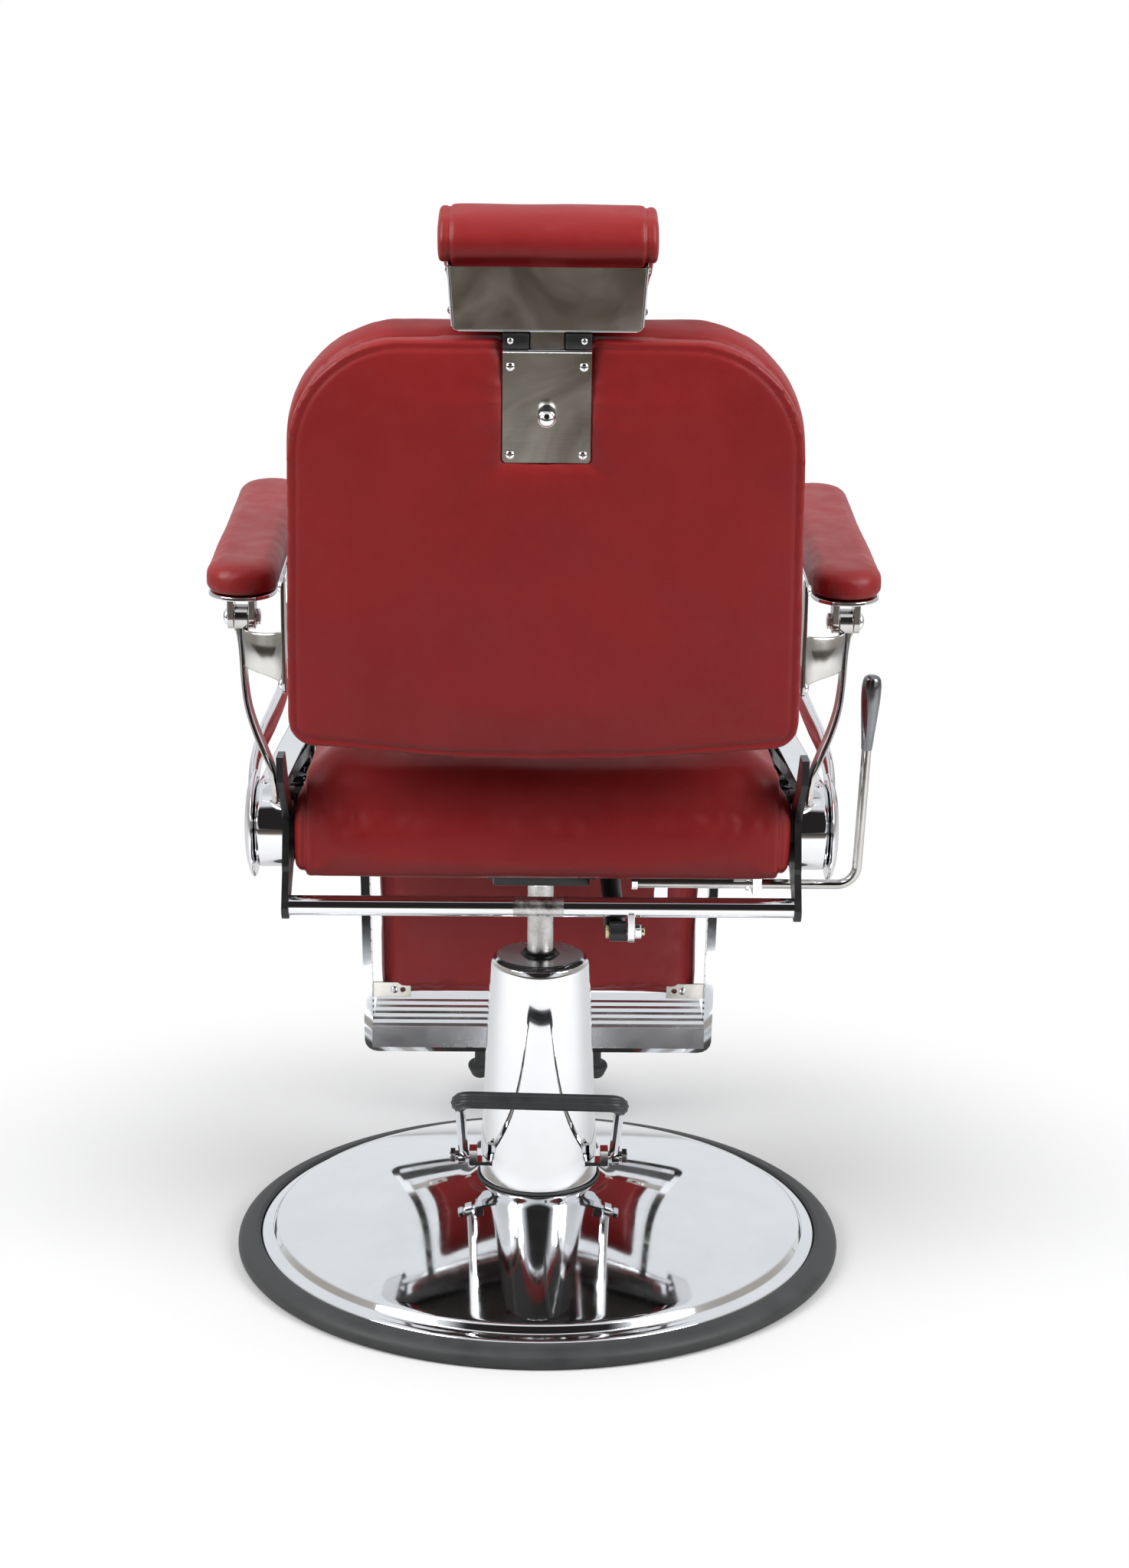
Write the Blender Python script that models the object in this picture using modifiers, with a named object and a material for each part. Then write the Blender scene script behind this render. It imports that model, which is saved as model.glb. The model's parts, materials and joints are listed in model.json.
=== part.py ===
"""Hydraulic barber chair with a reclining back, a footrest that rises with it and a sliding headrest.

Metres, +Z up. The origin is on the floor at the centre of the round base. The sitter faces -Y, so +X is
the sitter's left. Every node is one closed solid, and each moving group hangs from an empty on its joint.
"""

import math

import bmesh
import bpy
from mathutils import Matrix, Vector

GAP = 0.0003  # clearance between pieces that touch

# Base
RING_RADIUS = 0.350
RING_HEIGHT = 0.022
DISH_RADIUS = 0.323
DISH_STEP_RADIUS = 0.305
DISH_WALL = 0.003
DISH_HOLE_RADIUS = 0.0665
COVER_TOP_RADIUS = 0.057
COVER_FOOT_RADIUS = 0.0685
COVER_WALL = 0.0018
COVER_FOOT = 0.083
COVER_TOP = 0.349
PUMP_RADIUS = 0.045
PUMP_BORE = 0.030
RAM_RADIUS = 0.0150

# Pedal
PEDAL_PIVOT = Vector((0.0, 0.030, 0.115))
PEDAL_BAR = Vector((0.0, 0.222, 0.254))
PEDAL_HALF_WIDTH = 0.0865
PEDAL_ROD = 0.0056
PEDAL_EYE = 0.0108
PEDAL_AXLE = 0.0054
YOKE_LOW = 0.1060
YOKE_HIGH = 0.1105
PEDAL_SKEW = 0.022  # rise of the bar for each metre to the left

# Seat
SEAT_HALF_WIDTH = 0.2610
SEAT_FRONT = -0.270
SEAT_REAR = 0.250
SEAT_BOTTOM = 0.5060
SEAT_TOP = 0.640
BOARD_TOP = 0.5085
HINGE_ROOM_TOP = 0.5125  # the cushion's underside in front, over the footrest's hinge
BOARD_HALF_WIDTH = 0.235
BOARD_FRONT = -0.228
BOARD_REAR = 0.195
CROSS_LOW = 0.4812
CROSS_HIGH = 0.4984
CROSS_FRONT_Y = -0.170
CROSS_REAR_Y = 0.060
CROSS_WIDTH = 0.030
BEAM_HALF_WIDTH = 0.053
BEAM_LOW = 0.4621
MOUNT_LOW = 0.4575
HUB_LOW = 0.437

# Side housings, with the recline axle through each
PIVOT = Vector((0.0, 0.165, 0.547))
BOX_RADIUS = 0.046
BOX_INNER = 0.2727
BOX_OUTER = 0.3035
BOX_WALL = 0.0025
AXLE_RADIUS = 0.0095
PLATE_INNER = 0.2645
PLATE_OUTER = 0.2717
DISC_RADIUS = 0.058
DISC_OUTER = 0.3158

# Crossbar and lock cylinder under the seat
CROSSBAR = Vector((0.0, 0.240, 0.4785))
CROSSBAR_RADIUS = 0.0105
LUG_X = -0.094
LUG_HALF = 0.0035
LOCK_X = -0.0775
LOCK_RADIUS = 0.0115
LOCK_BORE = 0.0088
LOCK_EYE = 0.0115
LOCK_EYE_BORE = 0.0086
LOCK_PIN = 0.0026
LOCK_REAR = Vector((LOCK_X, 0.240, 0.452))
LOCK_FRONT = Vector((LOCK_X, -0.170, 0.455))
LOCK_ROD_RADIUS = 0.0045
LOCK_BOLT_RADIUS = 0.0045

# Back: its own plane leans from the foot of the rear panel
BACK_FOOT = Vector((0.0, 0.330, 0.657))
BACK_LEAN = math.radians(80.65)
BACK_HEIGHT = 0.4307
BACK_HALF_WIDTH = 0.2515
BACK_PANEL = 0.020
BACK_THICKNESS = 0.112
HEAD_PLATE_HALF = 0.042
HEAD_PLATE_LOW = 0.3116
HEAD_PLATE_HIGH = 0.4202
POST_HALF = 0.0165
POST_THICKNESS = 0.006
KNOB_HEIGHT = 0.3596
GUIDE_LOW = 0.4226
GUIDE_HIGH = 0.4370
CHANNEL_LOW = 0.4392
CHANNEL_HIGH = 0.4997
CHANNEL_HALF_LOW = 0.0892
CHANNEL_HALF_HIGH = 0.0925
CHANNEL_CORNER = 0.0045
FLANGE_DEPTH = 0.034
FLANGE_SPLAY = 0.003

# Armrests
ARM_X = 0.307
ARM_PIVOT = Vector((0.0, 0.248, 0.787))
ARM_REAR = 0.275
ARM_FRONT = -0.130
ARM_HALF_WIDTH = 0.0375
ARM_SLOPE = 0.0945
ARM_PAD_BOTTOM = 0.8125
ARM_PAD_HEIGHT = 0.0295
ARM_PLATE = 0.0042
CLEVIS_HALF_GAP = 0.0075
CLEVIS_EAR = 0.0065

# Recline lever
LEVER_SHAFT = Vector((0.0, 0.100, 0.464))
LEVER_ROD = 0.0050
LEVER_ELBOW_X = -0.346

# Footrest: its own plane leans forward from the hinge shaft
FOOT_HINGE = Vector((0.0, -0.245, 0.4975))
FOOT_LEAN = math.radians(75.4)
FOOT_HALF_WIDTH = 0.2215
FOOT_BAR = 0.011
FOOT_BAR_DEPTH = 0.030
FOOT_LENGTH = 0.3955
FOOT_PAD_BOTTOM = -0.326
TREAD_TOP = 0.158
TREAD_REAR = -0.2985
TREAD_DEPTH = 0.140
BUMPER_X = 0.0745
CRANK = Vector((0.0, -0.0109, 0.0301))  # from the axle, and the footrest's shaft, to its link pin
LINK_X = 0.2825

COLOURS = {
    "leather": ((0.23, 0.027, 0.030), 0.42, 0.0),
    "chrome": ((0.80, 0.81, 0.82), 0.08, 1.0),
    "steel": ((0.42, 0.40, 0.36), 0.30, 1.0),
    "aluminium": ((0.55, 0.56, 0.58), 0.35, 1.0),
    "black": ((0.012, 0.012, 0.013), 0.45, 0.3),
    "rubber": ((0.035, 0.037, 0.038), 0.70, 0.0),
    "wood": ((0.36, 0.24, 0.13), 0.65, 0.0),
    "brass": ((0.60, 0.47, 0.22), 0.30, 1.0),
}


def clear_scene():
    for obj in list(bpy.data.objects):
        bpy.data.objects.remove(obj, do_unlink=True)


def material(node, kind):
    colour, roughness, metallic = COLOURS[kind]
    made = bpy.data.materials.new(node)
    made.use_nodes = True
    shader = made.node_tree.nodes["Principled BSDF"]
    shader.inputs["Base Color"].default_value = (*colour, 1.0)
    shader.inputs["Roughness"].default_value = roughness
    shader.inputs["Metallic"].default_value = metallic
    made.diffuse_color = (*colour, 1.0)
    return made


def link(name, mesh):
    obj = bpy.data.objects.new(name, mesh)
    bpy.context.scene.collection.objects.link(obj)
    return obj


def from_bmesh(name, bm, matrix=None):
    if matrix is not None:
        bmesh.ops.transform(bm, matrix=matrix, verts=bm.verts)
    bmesh.ops.recalc_face_normals(bm, faces=bm.faces)
    mesh = bpy.data.meshes.new(name)
    bm.to_mesh(mesh)
    bm.free()
    return link(name, mesh)


def baked(obj):
    """The object with its modifiers applied, as a plain welded mesh in world coordinates."""
    bpy.context.view_layer.update()
    graph = bpy.context.evaluated_depsgraph_get()
    mesh = bpy.data.meshes.new_from_object(obj.evaluated_get(graph))
    mesh.transform(obj.matrix_world)
    name = obj.name
    bpy.data.objects.remove(obj, do_unlink=True)
    bm = bmesh.new()
    bm.from_mesh(mesh)
    bmesh.ops.remove_doubles(bm, verts=bm.verts, dist=1e-6)
    bmesh.ops.recalc_face_normals(bm, faces=bm.faces)
    bm.to_mesh(mesh)
    bm.free()
    mesh.name = name
    return link(name, mesh)


def placed(obj, matrix):
    if matrix is not None:
        obj.data.transform(matrix)
    return obj


def combine(target, tools, operation):
    """Joins solids to the target, or cuts them from it, and returns the target as one mesh."""
    for tool in tools:
        modifier = target.modifiers.new(operation.lower(), "BOOLEAN")
        modifier.operation = operation
        modifier.solver = "EXACT"
        modifier.object = tool
    made = baked(target)
    for tool in tools:
        bpy.data.objects.remove(tool, do_unlink=True)
    return made


def union(target, *tools):
    return combine(target, tools, "UNION")


def cut(target, *tools):
    return combine(target, tools, "DIFFERENCE")


def bevelled(obj, width, segments=2, angle=40):
    modifier = obj.modifiers.new("edges", "BEVEL")
    modifier.width = width
    modifier.segments = segments
    modifier.limit_method = "ANGLE"
    modifier.angle_limit = math.radians(angle)
    return obj


def box(name, low, high, matrix=None):
    low = Vector(low)
    high = Vector(high)
    bm = bmesh.new()
    bmesh.ops.create_cube(bm, size=1.0)
    bmesh.ops.scale(bm, vec=high - low, verts=bm.verts)
    bmesh.ops.translate(bm, vec=(low + high) / 2, verts=bm.verts)
    return from_bmesh(name, bm, matrix)


def along(start, end):
    """The matrix that lays a +Z shape of unit centre on the line from start to end."""
    direction = Vector(end) - Vector(start)
    turn = direction.to_track_quat("Z", "Y").to_matrix().to_4x4()
    return Matrix.Translation((Vector(start) + Vector(end)) / 2) @ turn


def rod(name, start, end, radius, end_radius=None, sides=32, matrix=None):
    """A solid cylinder or cone between two points."""
    bm = bmesh.new()
    bmesh.ops.create_cone(
        bm,
        cap_ends=True,
        segments=sides,
        radius1=radius,
        radius2=radius if end_radius is None else end_radius,
        depth=(Vector(end) - Vector(start)).length,
    )
    bmesh.ops.transform(bm, matrix=along(start, end), verts=bm.verts)
    return from_bmesh(name, bm, matrix)


def ball(name, centre, radius, matrix=None):
    bm = bmesh.new()
    bmesh.ops.create_uvsphere(bm, u_segments=16, v_segments=10, radius=radius)
    bmesh.ops.translate(bm, vec=centre, verts=bm.verts)
    return from_bmesh(name, bm, matrix)


def turned(name, profile, closed, matrix=None, steps=48):
    """A profile of (radius, height) pairs, running down the outer side, turned about Z.

    A closed profile makes a ring; an open one starts and ends on the axis.
    """
    bm = bmesh.new()
    verts = [bm.verts.new((radius, 0.0, height)) for radius, height in profile]
    for first, second in zip(verts, verts[1:]):
        bm.edges.new((first, second))
    if closed:
        bm.edges.new((verts[-1], verts[0]))
    mesh = bpy.data.meshes.new(name)
    bm.to_mesh(mesh)
    bm.free()
    obj = link(name, mesh)
    screw = obj.modifiers.new("turn", "SCREW")
    screw.axis = "Z"
    screw.steps = steps
    screw.render_steps = steps
    screw.use_merge_vertices = True
    screw.merge_threshold = 1e-6
    if matrix is not None:
        obj.matrix_world = matrix
    return obj


def plate(name, outlines, thickness, matrix=None):
    """A flat outline, with any holes as further outlines, as thick as stated about its own plane."""
    curve = bpy.data.curves.new(name, "CURVE")
    curve.dimensions = "2D"
    curve.fill_mode = "BOTH"
    curve.extrude = thickness / 2
    for outline in outlines:
        spline = curve.splines.new("POLY")
        spline.points.add(len(outline) - 1)
        for point, (x, y) in zip(spline.points, outline):
            point.co = (x, y, 0.0, 1.0)
        spline.use_cyclic_u = True
    return placed(baked(link(name, curve)), matrix)


def tube(name, points, radius, resolution=2, matrix=None):
    """A round bar along a polyline."""
    curve = bpy.data.curves.new(name, "CURVE")
    curve.dimensions = "3D"
    curve.bevel_depth = radius
    curve.bevel_resolution = resolution
    curve.use_fill_caps = True
    spline = curve.splines.new("POLY")
    spline.points.add(len(points) - 1)
    for point, place in zip(spline.points, points):
        point.co = (*place, 1.0)
    return placed(baked(link(name, curve)), matrix)


def loft(name, rings, matrix=None):
    """A closed skin through rings of equal point counts, with flat ends."""
    bm = bmesh.new()
    rows = [[bm.verts.new(point) for point in ring] for ring in rings]
    for low, high in zip(rows, rows[1:]):
        for i in range(len(low)):
            j = (i + 1) % len(low)
            bm.faces.new((low[i], low[j], high[j], high[i]))
    bm.faces.new(list(reversed(rows[0])))
    bm.faces.new(rows[-1])
    return from_bmesh(name, bm, matrix)


def arc(centre, radius, start, end, count):
    """Points on a circle from one angle to another, in degrees."""
    points = []
    for i in range(count):
        angle = math.radians(start + (end - start) * i / (count - 1))
        points.append((centre[0] + radius * math.cos(angle), centre[1] + radius * math.sin(angle)))
    return points


def circle(centre, radius, count=32):
    return arc(centre, radius, 0, 360 - 360 / count, count)


def smooth_path(points, per_span=4):
    """A Catmull-Rom curve through the points."""
    points = [Vector(p) for p in points]
    ends = [2 * points[0] - points[1], *points, 2 * points[-1] - points[-2]]
    made = []
    for i in range(1, len(ends) - 2):
        a, b, c, d = ends[i - 1 : i + 3]
        for step in range(per_span):
            t = step / per_span
            bend = (2 * a - 5 * b + 4 * c - d) * t**2 + (3 * b - a - 3 * c + d) * t**3
            made.append(0.5 * (2 * b + (c - a) * t + bend))
    return [*made, points[-1]]


def rounded_corner(before, corner, after, radius, count=6):
    """The points that round one corner of a polyline."""
    before = Vector(before)
    corner = Vector(corner)
    after = Vector(after)
    first = (before - corner).normalized()
    second = (after - corner).normalized()
    half = first.angle(second) / 2
    reach = radius / math.tan(half)
    centre = corner + (first + second).normalized() * radius / math.sin(half)
    start = corner + first * reach - centre
    end = corner + second * reach - centre
    return [centre + start.slerp(end, i / (count - 1)) * radius for i in range(count)]


def side_plane(x):
    """The matrix of a plate's plane at this X: its own x runs along +Y and its own y up."""
    turn = Matrix(((0, 0, 1), (1, 0, 0), (0, 1, 0))).to_4x4()
    return Matrix.Translation((x, 0, 0)) @ turn


BACK_FRAME = Matrix.Translation(BACK_FOOT) @ Matrix.Rotation(BACK_LEAN, 4, "X")
FOOT_FRAME = Matrix.Translation(FOOT_HINGE) @ Matrix.Rotation(FOOT_LEAN, 4, "X")


def mirrored(point, side):
    return Vector((point[0] * side, point[1], point[2]))


SIDES = (("left", 1), ("right", -1))


def make_base():
    """The stand: rubber ring, chrome dish, floor plate, pump and its cover."""
    ring_inner = DISH_RADIUS + GAP
    nodes = {}
    nodes["rubber_ring"] = turned(
        "rubber_ring",
        [
            (ring_inner, RING_HEIGHT - 0.002),
            (ring_inner + 0.004, RING_HEIGHT),
            (0.340, 0.0205),
            (RING_RADIUS - 0.0015, 0.0145),
            (RING_RADIUS, 0.005),
            (RING_RADIUS - 0.005, 0.0),
            (0.306, 0.0),
            (0.306, 0.0035),
            (ring_inner, 0.0035),
        ],
        closed=True,
        steps=40,
    )
    outer = [
        (DISH_HOLE_RADIUS, 0.0822),
        (0.076, 0.0805),
        (0.088, 0.0755),
        (0.120, 0.0665),
        (0.200, 0.0512),
        (0.300, 0.0352),
        (DISH_STEP_RADIUS, 0.0310),
        (0.308, 0.0270),
        (0.318, 0.0225),
        (DISH_RADIUS, 0.0150),
        (DISH_RADIUS, 0.0040),
    ]
    inner = [(radius - DISH_WALL, height - DISH_WALL * 0.6) for radius, height in outer[3:9:2]]
    rim = DISH_RADIUS - DISH_WALL
    inner = [(DISH_HOLE_RADIUS, 0.0780), *inner, (rim, 0.0150), (rim, 0.0040)]
    nodes["base_dish"] = turned("base_dish", [*outer, *reversed(inner)], closed=True, steps=40)
    nodes["base_plate"] = turned(
        "base_plate",
        [(0.0, 0.006), (0.303, 0.006), (0.3045, 0.0045), (0.3045, 0.0), (0.0, 0.0)],
        closed=False,
        steps=36,
    )
    nodes["pump_body"] = turned(
        "pump_body",
        [
            (RAM_RADIUS + 0.001, 0.330),
            (0.042, 0.330),
            (PUMP_RADIUS, 0.326),
            (PUMP_RADIUS, 0.040),
            (0.061, 0.036),
            (0.061, 0.0063),
            (0.0, 0.0063),
            (0.0, 0.050),
            (PUMP_BORE, 0.050),
            (PUMP_BORE, 0.300),
            (RAM_RADIUS + 0.001, 0.300),
        ],
        closed=True,
        steps=28,
    )
    nodes["pump_body"].modifiers["turn"].merge_threshold = 1e-5
    cover = turned(
        "pump_cover",
        [
            (0.0215, COVER_TOP + 0.0005),
            (0.0500, COVER_TOP),
            (0.0555, COVER_TOP - 0.0035),
            (COVER_TOP_RADIUS, COVER_TOP - 0.010),
            (COVER_FOOT_RADIUS, COVER_FOOT + 0.0003),
            (COVER_FOOT_RADIUS - COVER_WALL, COVER_FOOT + 0.0003),
            (COVER_TOP_RADIUS - COVER_WALL, COVER_TOP - 0.010),
            (0.0510, COVER_TOP - 0.0035),
            (0.0215, COVER_TOP - 0.0022),
        ],
        closed=True,
        steps=36,
    )
    slot = box("slot", (-0.09, 0.0190, YOKE_LOW - 0.0008), (0.09, 0.0410, YOKE_HIGH + 0.0008))
    nodes["pump_cover"] = cut(cover, slot)
    nodes["cover_gasket"] = turned(
        "cover_gasket",
        [(0.0694, 0.0862), (0.0730, 0.0845), (0.0730, 0.0826), (0.0694, 0.0826)],
        closed=True,
        steps=32,
    )
    nodes["ram_wiper"] = turned(
        "ram_wiper",
        [
            (RAM_RADIUS + 0.0006, 0.3545),
            (RAM_RADIUS + 0.0025, 0.3545),
            (0.0212, 0.3500),
            (0.0212, 0.3305),
            (RAM_RADIUS + 0.0006, 0.3305),
        ],
        closed=True,
        steps=24,
    )
    nodes["pedal_yoke"] = make_yoke()
    return nodes


def make_yoke():
    """The ring clamped round the pump, with an arm, a block and a cross bolt on each side for the pedal."""
    yoke = rod("pedal_yoke", (0, 0, YOKE_LOW), (0, 0, YOKE_HIGH), 0.056, sides=28)
    yoke = union(yoke, box("arms", (-0.0800, 0.020, YOKE_LOW), (0.0800, 0.040, YOKE_HIGH)))
    yoke = cut(yoke, rod("bore", (0, 0, 0.09), (0, 0, 0.12), PUMP_RADIUS + 0.0012, sides=28))
    y, z = PEDAL_PIVOT.yz
    for name, side in SIDES:
        x = side * 0.0755
        block = box(f"block_{name}", (x - 0.0045, y - 0.010, YOKE_LOW), (x + 0.0045, y + 0.010, z + 0.009))
        axle = rod(f"axle_{name}", (side * 0.0780, y, z), (side * 0.0980, y, z), PEDAL_AXLE, sides=16)
        head = rod(f"head_{name}", (side * 0.0960, y, z), (side * 0.1015, y, z), 0.0086, sides=6)
        yoke = union(yoke, block, axle, head)
    return yoke


def pedal_point(side, share):
    """A point on one rod of the bail, from its pivot (0) to the bar (1)."""
    place = PEDAL_PIVOT.lerp(PEDAL_BAR, share)
    x = side * PEDAL_HALF_WIDTH
    return Vector((x, place.y, place.z + PEDAL_SKEW * x * share))


def make_pedal():
    """The foot pump: a bent rod with flat eyes, and a rubber sleeve on its bar."""
    left = [pedal_point(1, 0.0), pedal_point(1, 1.0)]
    right = [pedal_point(-1, 1.0), pedal_point(-1, 0.0)]
    corners = [
        *rounded_corner(left[0], left[1], right[0], 0.012, 4),
        *rounded_corner(left[1], right[0], right[1], 0.012, 4),
    ]
    bail = tube("pedal_bail", [left[0], *corners, right[1]], PEDAL_ROD)
    for name, side in SIDES:
        x = side * 0.0884
        y, z = PEDAL_PIVOT.yz
        eye = rod(f"eye_{name}", (x - 0.0040, y, z), (x + 0.0040, y, z), PEDAL_EYE, sides=18)
        bail = union(bail, eye)
        bore = rod(f"bore_{name}", (x - 0.02, y, z), (x + 0.02, y, z), PEDAL_AXLE + 0.0006, sides=18)
        bail = cut(bail, bore)
    ends = [pedal_point(1, 0.905), pedal_point(-1, 0.905)]
    outline = [
        ends[0],
        *rounded_corner(left[0], left[1], right[0], 0.012, 4),
        *rounded_corner(left[1], right[0], right[1], 0.012, 4),
        ends[1],
    ]
    sleeve = tube("pedal_sleeve", outline, 0.0100)
    reach = [pedal_point(1, 0.80), *outline[1:-1], pedal_point(-1, 0.80)]
    sleeve = cut(sleeve, tube("hollow", reach, PEDAL_ROD + GAP * 2))
    return {"pedal_bail": bail, "pedal_sleeve": sleeve}


def make_lift():
    """The piston inside the pump, under the foot of the ram."""
    return {"lift_piston": rod("lift_piston", (0, 0, 0.108), (0, 0, 0.1202), PUMP_BORE - 0.0006, sides=32)}


def make_seat():
    """What turns on the ram: hub, frame, cushion and the two side housings."""
    nodes = {}
    nodes["ram"] = rod("ram", (0, 0, 0.1205), (0, 0, HUB_LOW + 0.010), RAM_RADIUS, sides=32)
    nodes["ram_hub"] = cut(
        turned(
            "ram_hub",
            [
                (0.0, MOUNT_LOW - GAP),
                (0.0230, MOUNT_LOW - GAP),
                (0.0215, HUB_LOW + 0.010),
                (0.0185, HUB_LOW + 0.004),
                (0.0185, HUB_LOW),
                (0.0, HUB_LOW),
            ],
            closed=False,
            steps=32,
        ),
        rod("socket", (0, 0, HUB_LOW - 0.01), (0, 0, HUB_LOW + 0.0105), RAM_RADIUS + GAP, sides=32),
    )
    nodes["mount_plate"] = bevelled(
        box("mount_plate", (-0.060, -0.085, MOUNT_LOW), (0.060, 0.070, BEAM_LOW - GAP)), 0.0015
    )
    beam = box("frame_beam", (-BEAM_HALF_WIDTH, -0.220, BEAM_LOW), (BEAM_HALF_WIDTH, 0.110, CROSS_LOW - GAP))
    nodes["frame_beam"] = bevelled(beam, 0.003)
    for name, y in (("front", CROSS_FRONT_Y), ("rear", CROSS_REAR_Y)):
        reach = BOX_OUTER - BOX_WALL - GAP
        low = (-reach, y - CROSS_WIDTH / 2, CROSS_LOW)
        high = (reach, y + CROSS_WIDTH / 2, CROSS_HIGH)
        nodes[f"frame_cross_{name}"] = bevelled(box(f"frame_cross_{name}", low, high), 0.002)
    board_low = (-BOARD_HALF_WIDTH, BOARD_FRONT, CROSS_HIGH + GAP)
    board = box("seat_board", board_low, (BOARD_HALF_WIDTH, BOARD_REAR, BOARD_TOP))
    nodes["seat_board"] = bevelled(board, 0.002)
    nodes["seat_cushion"] = make_seat_cushion()
    for name, side in SIDES:
        nodes[f"side_box_{name}"] = make_side_box(name, side)
    bracket = box("lever_bracket", (-0.242, 0.090, 0.4530), (-0.232, 0.110, CROSS_LOW - GAP))
    bracket = union(bracket, box("foot", (-0.242, 0.048, 0.4770), (-0.212, 0.110, CROSS_LOW - GAP)))
    through = rod("through", (-0.25, *LEVER_SHAFT.yz), (-0.20, *LEVER_SHAFT.yz), LEVER_ROD + 0.0005, sides=24)
    nodes["lever_bracket"] = cut(bracket, through)
    nodes["lock_bracket"] = make_lock_bracket()
    return nodes


def make_seat_cushion():
    """A padded block, rounder above than below, that fits down over the edges of its board."""
    low = Vector((-SEAT_HALF_WIDTH, SEAT_FRONT, SEAT_BOTTOM))
    high = Vector((SEAT_HALF_WIDTH, SEAT_REAR, SEAT_TOP))
    rings = []
    levels = ((0.0, 0.008), (0.008, 0.0), (0.085, 0.0), (0.108, 0.006), (0.123, 0.017), (0.134, 0.034))
    for height, inset in levels:
        wide = high.x - inset
        front = low.y + inset
        rear = high.y - inset
        corner = 0.022
        outline = [
            *arc((wide - corner, rear - corner), corner, 0, 90, 4),
            *arc((-wide + corner, rear - corner), corner, 90, 180, 4),
            *arc((-wide + corner, front + corner), corner, 180, 270, 4),
            *arc((wide - corner, front + corner), corner, 270, 360, 4),
        ]
        rings.append([Vector((x, y, low.z + height)) for x, y in outline])
    room = 0.0008
    pocket = box(
        "pocket",
        (-BOARD_HALF_WIDTH - room, BOARD_FRONT - room, SEAT_BOTTOM - 0.01),
        (BOARD_HALF_WIDTH + room, BOARD_REAR + room, BOARD_TOP + GAP),
    )
    room_high = (0.30, SEAT_FRONT + 0.055, HINGE_ROOM_TOP)
    hinge_room = box("hinge_room", (-0.30, SEAT_FRONT - 0.01, 0.49), room_high)
    return cut(loft("seat_cushion", rings), pocket, hinge_room)


def box_outline(inset):
    """The side housing's outline along Y and Z, drawn in by the wall's thickness."""
    radius = BOX_RADIUS - inset
    rear = arc(PIVOT.yz, radius, 90, -90, 11)
    front = arc((-0.245, 0.522), 0.044 - inset, 270, 90, 9)
    belly = [(0.085, 0.478 + inset)]
    return [*rear, *belly, *front]


def make_side_box(name, side):
    shell = plate(
        f"side_box_{name}",
        [box_outline(0.0)],
        BOX_OUTER - BOX_INNER,
        side_plane(side * (BOX_OUTER + BOX_INNER) / 2),
    )
    depth = BOX_OUTER - BOX_WALL - BOX_INNER + 0.02
    middle = side * (BOX_OUTER - BOX_WALL - depth / 2)
    hollow = plate("hollow", [box_outline(BOX_WALL)], depth, side_plane(middle))
    shell = cut(shell, hollow)
    inside = BOX_OUTER - 0.001
    for centre in (PIVOT.yz, FOOT_HINGE.yz):
        boss = rod("boss", (side * 0.2870, *centre), (side * inside, *centre), 0.0160, sides=24)
        shell = union(shell, boss)
    bore = rod("bore", (side * 0.27, *PIVOT.yz), (side * 0.31, *PIVOT.yz), AXLE_RADIUS + 0.0006, sides=32)
    socket = rod("socket", (side * 0.27, *FOOT_HINGE.yz), (side * 0.2945, *FOOT_HINGE.yz), 0.0095, sides=32)
    return cut(shell, bore, socket)


def make_lock_bracket():
    """A clevis under the front cross member, with the lock rod's pin across it."""
    wide = 0.0125
    y = LOCK_FRONT.y
    low = LOCK_FRONT.z - 0.008
    top = CROSS_LOW - GAP
    clevis = box("lock_bracket", (LOCK_X - wide, y - 0.011, low), (LOCK_X + wide, y + 0.011, top))
    gap_low = (LOCK_X - wide + 0.004, y - 0.02, low - 0.01)
    clevis = cut(clevis, box("gap", gap_low, (LOCK_X + wide - 0.004, y + 0.02, top - 0.003)))
    reach = Vector((wide + 0.003, 0, 0))
    pin = rod("pin", LOCK_FRONT - reach, LOCK_FRONT + reach, LOCK_PIN, sides=20)
    return union(clevis, pin)


def make_back_carrier():
    """What carries the back: side plates, crossbar, swept arms and curved rear brackets."""
    nodes = {}
    bar_reach = PLATE_INNER - GAP
    half_bar = Vector((bar_reach, 0, 0))
    crossbar = rod("crossbar", CROSSBAR - half_bar, CROSSBAR + half_bar, CROSSBAR_RADIUS, sides=24)
    lug_outline = [
        (0.252, 0.476),
        (0.228, 0.476),
        (0.228, 0.453),
        *arc(LOCK_REAR.yz, 0.0115, 180, 360, 9)[1:-1],
        (0.252, 0.453),
    ]
    lug = plate("lug", [lug_outline], LUG_HALF * 2, side_plane(LUG_X))
    crossbar = union(crossbar, lug)
    hole_radius = LOCK_BOLT_RADIUS + 0.0004
    bolt_hole = rod("hole", (-0.12, *LOCK_REAR.yz), (-0.08, *LOCK_REAR.yz), hole_radius, sides=24)
    nodes["crossbar"] = cut(crossbar, bolt_hole)
    bolt = rod("lock_bolt", (-0.0680, *LOCK_REAR.yz), (-0.1090, *LOCK_REAR.yz), LOCK_BOLT_RADIUS, sides=24)
    head = rod("head", (-0.0672, *LOCK_REAR.yz), (-0.0712, *LOCK_REAR.yz), 0.0080, sides=6)
    nut = rod("nut", (-0.0980, *LOCK_REAR.yz), (-0.1050, *LOCK_REAR.yz), 0.0080, sides=6)
    nodes["lock_bolt"] = union(bolt, head, nut)
    for name, side in SIDES:
        nodes[f"side_plate_{name}"] = make_side_plate(name, side)
        nodes[f"swept_arm_{name}"] = make_swept_arm(name, side)
        nodes[f"rear_bracket_{name}"] = make_rear_bracket(name, side)
    return nodes


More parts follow.
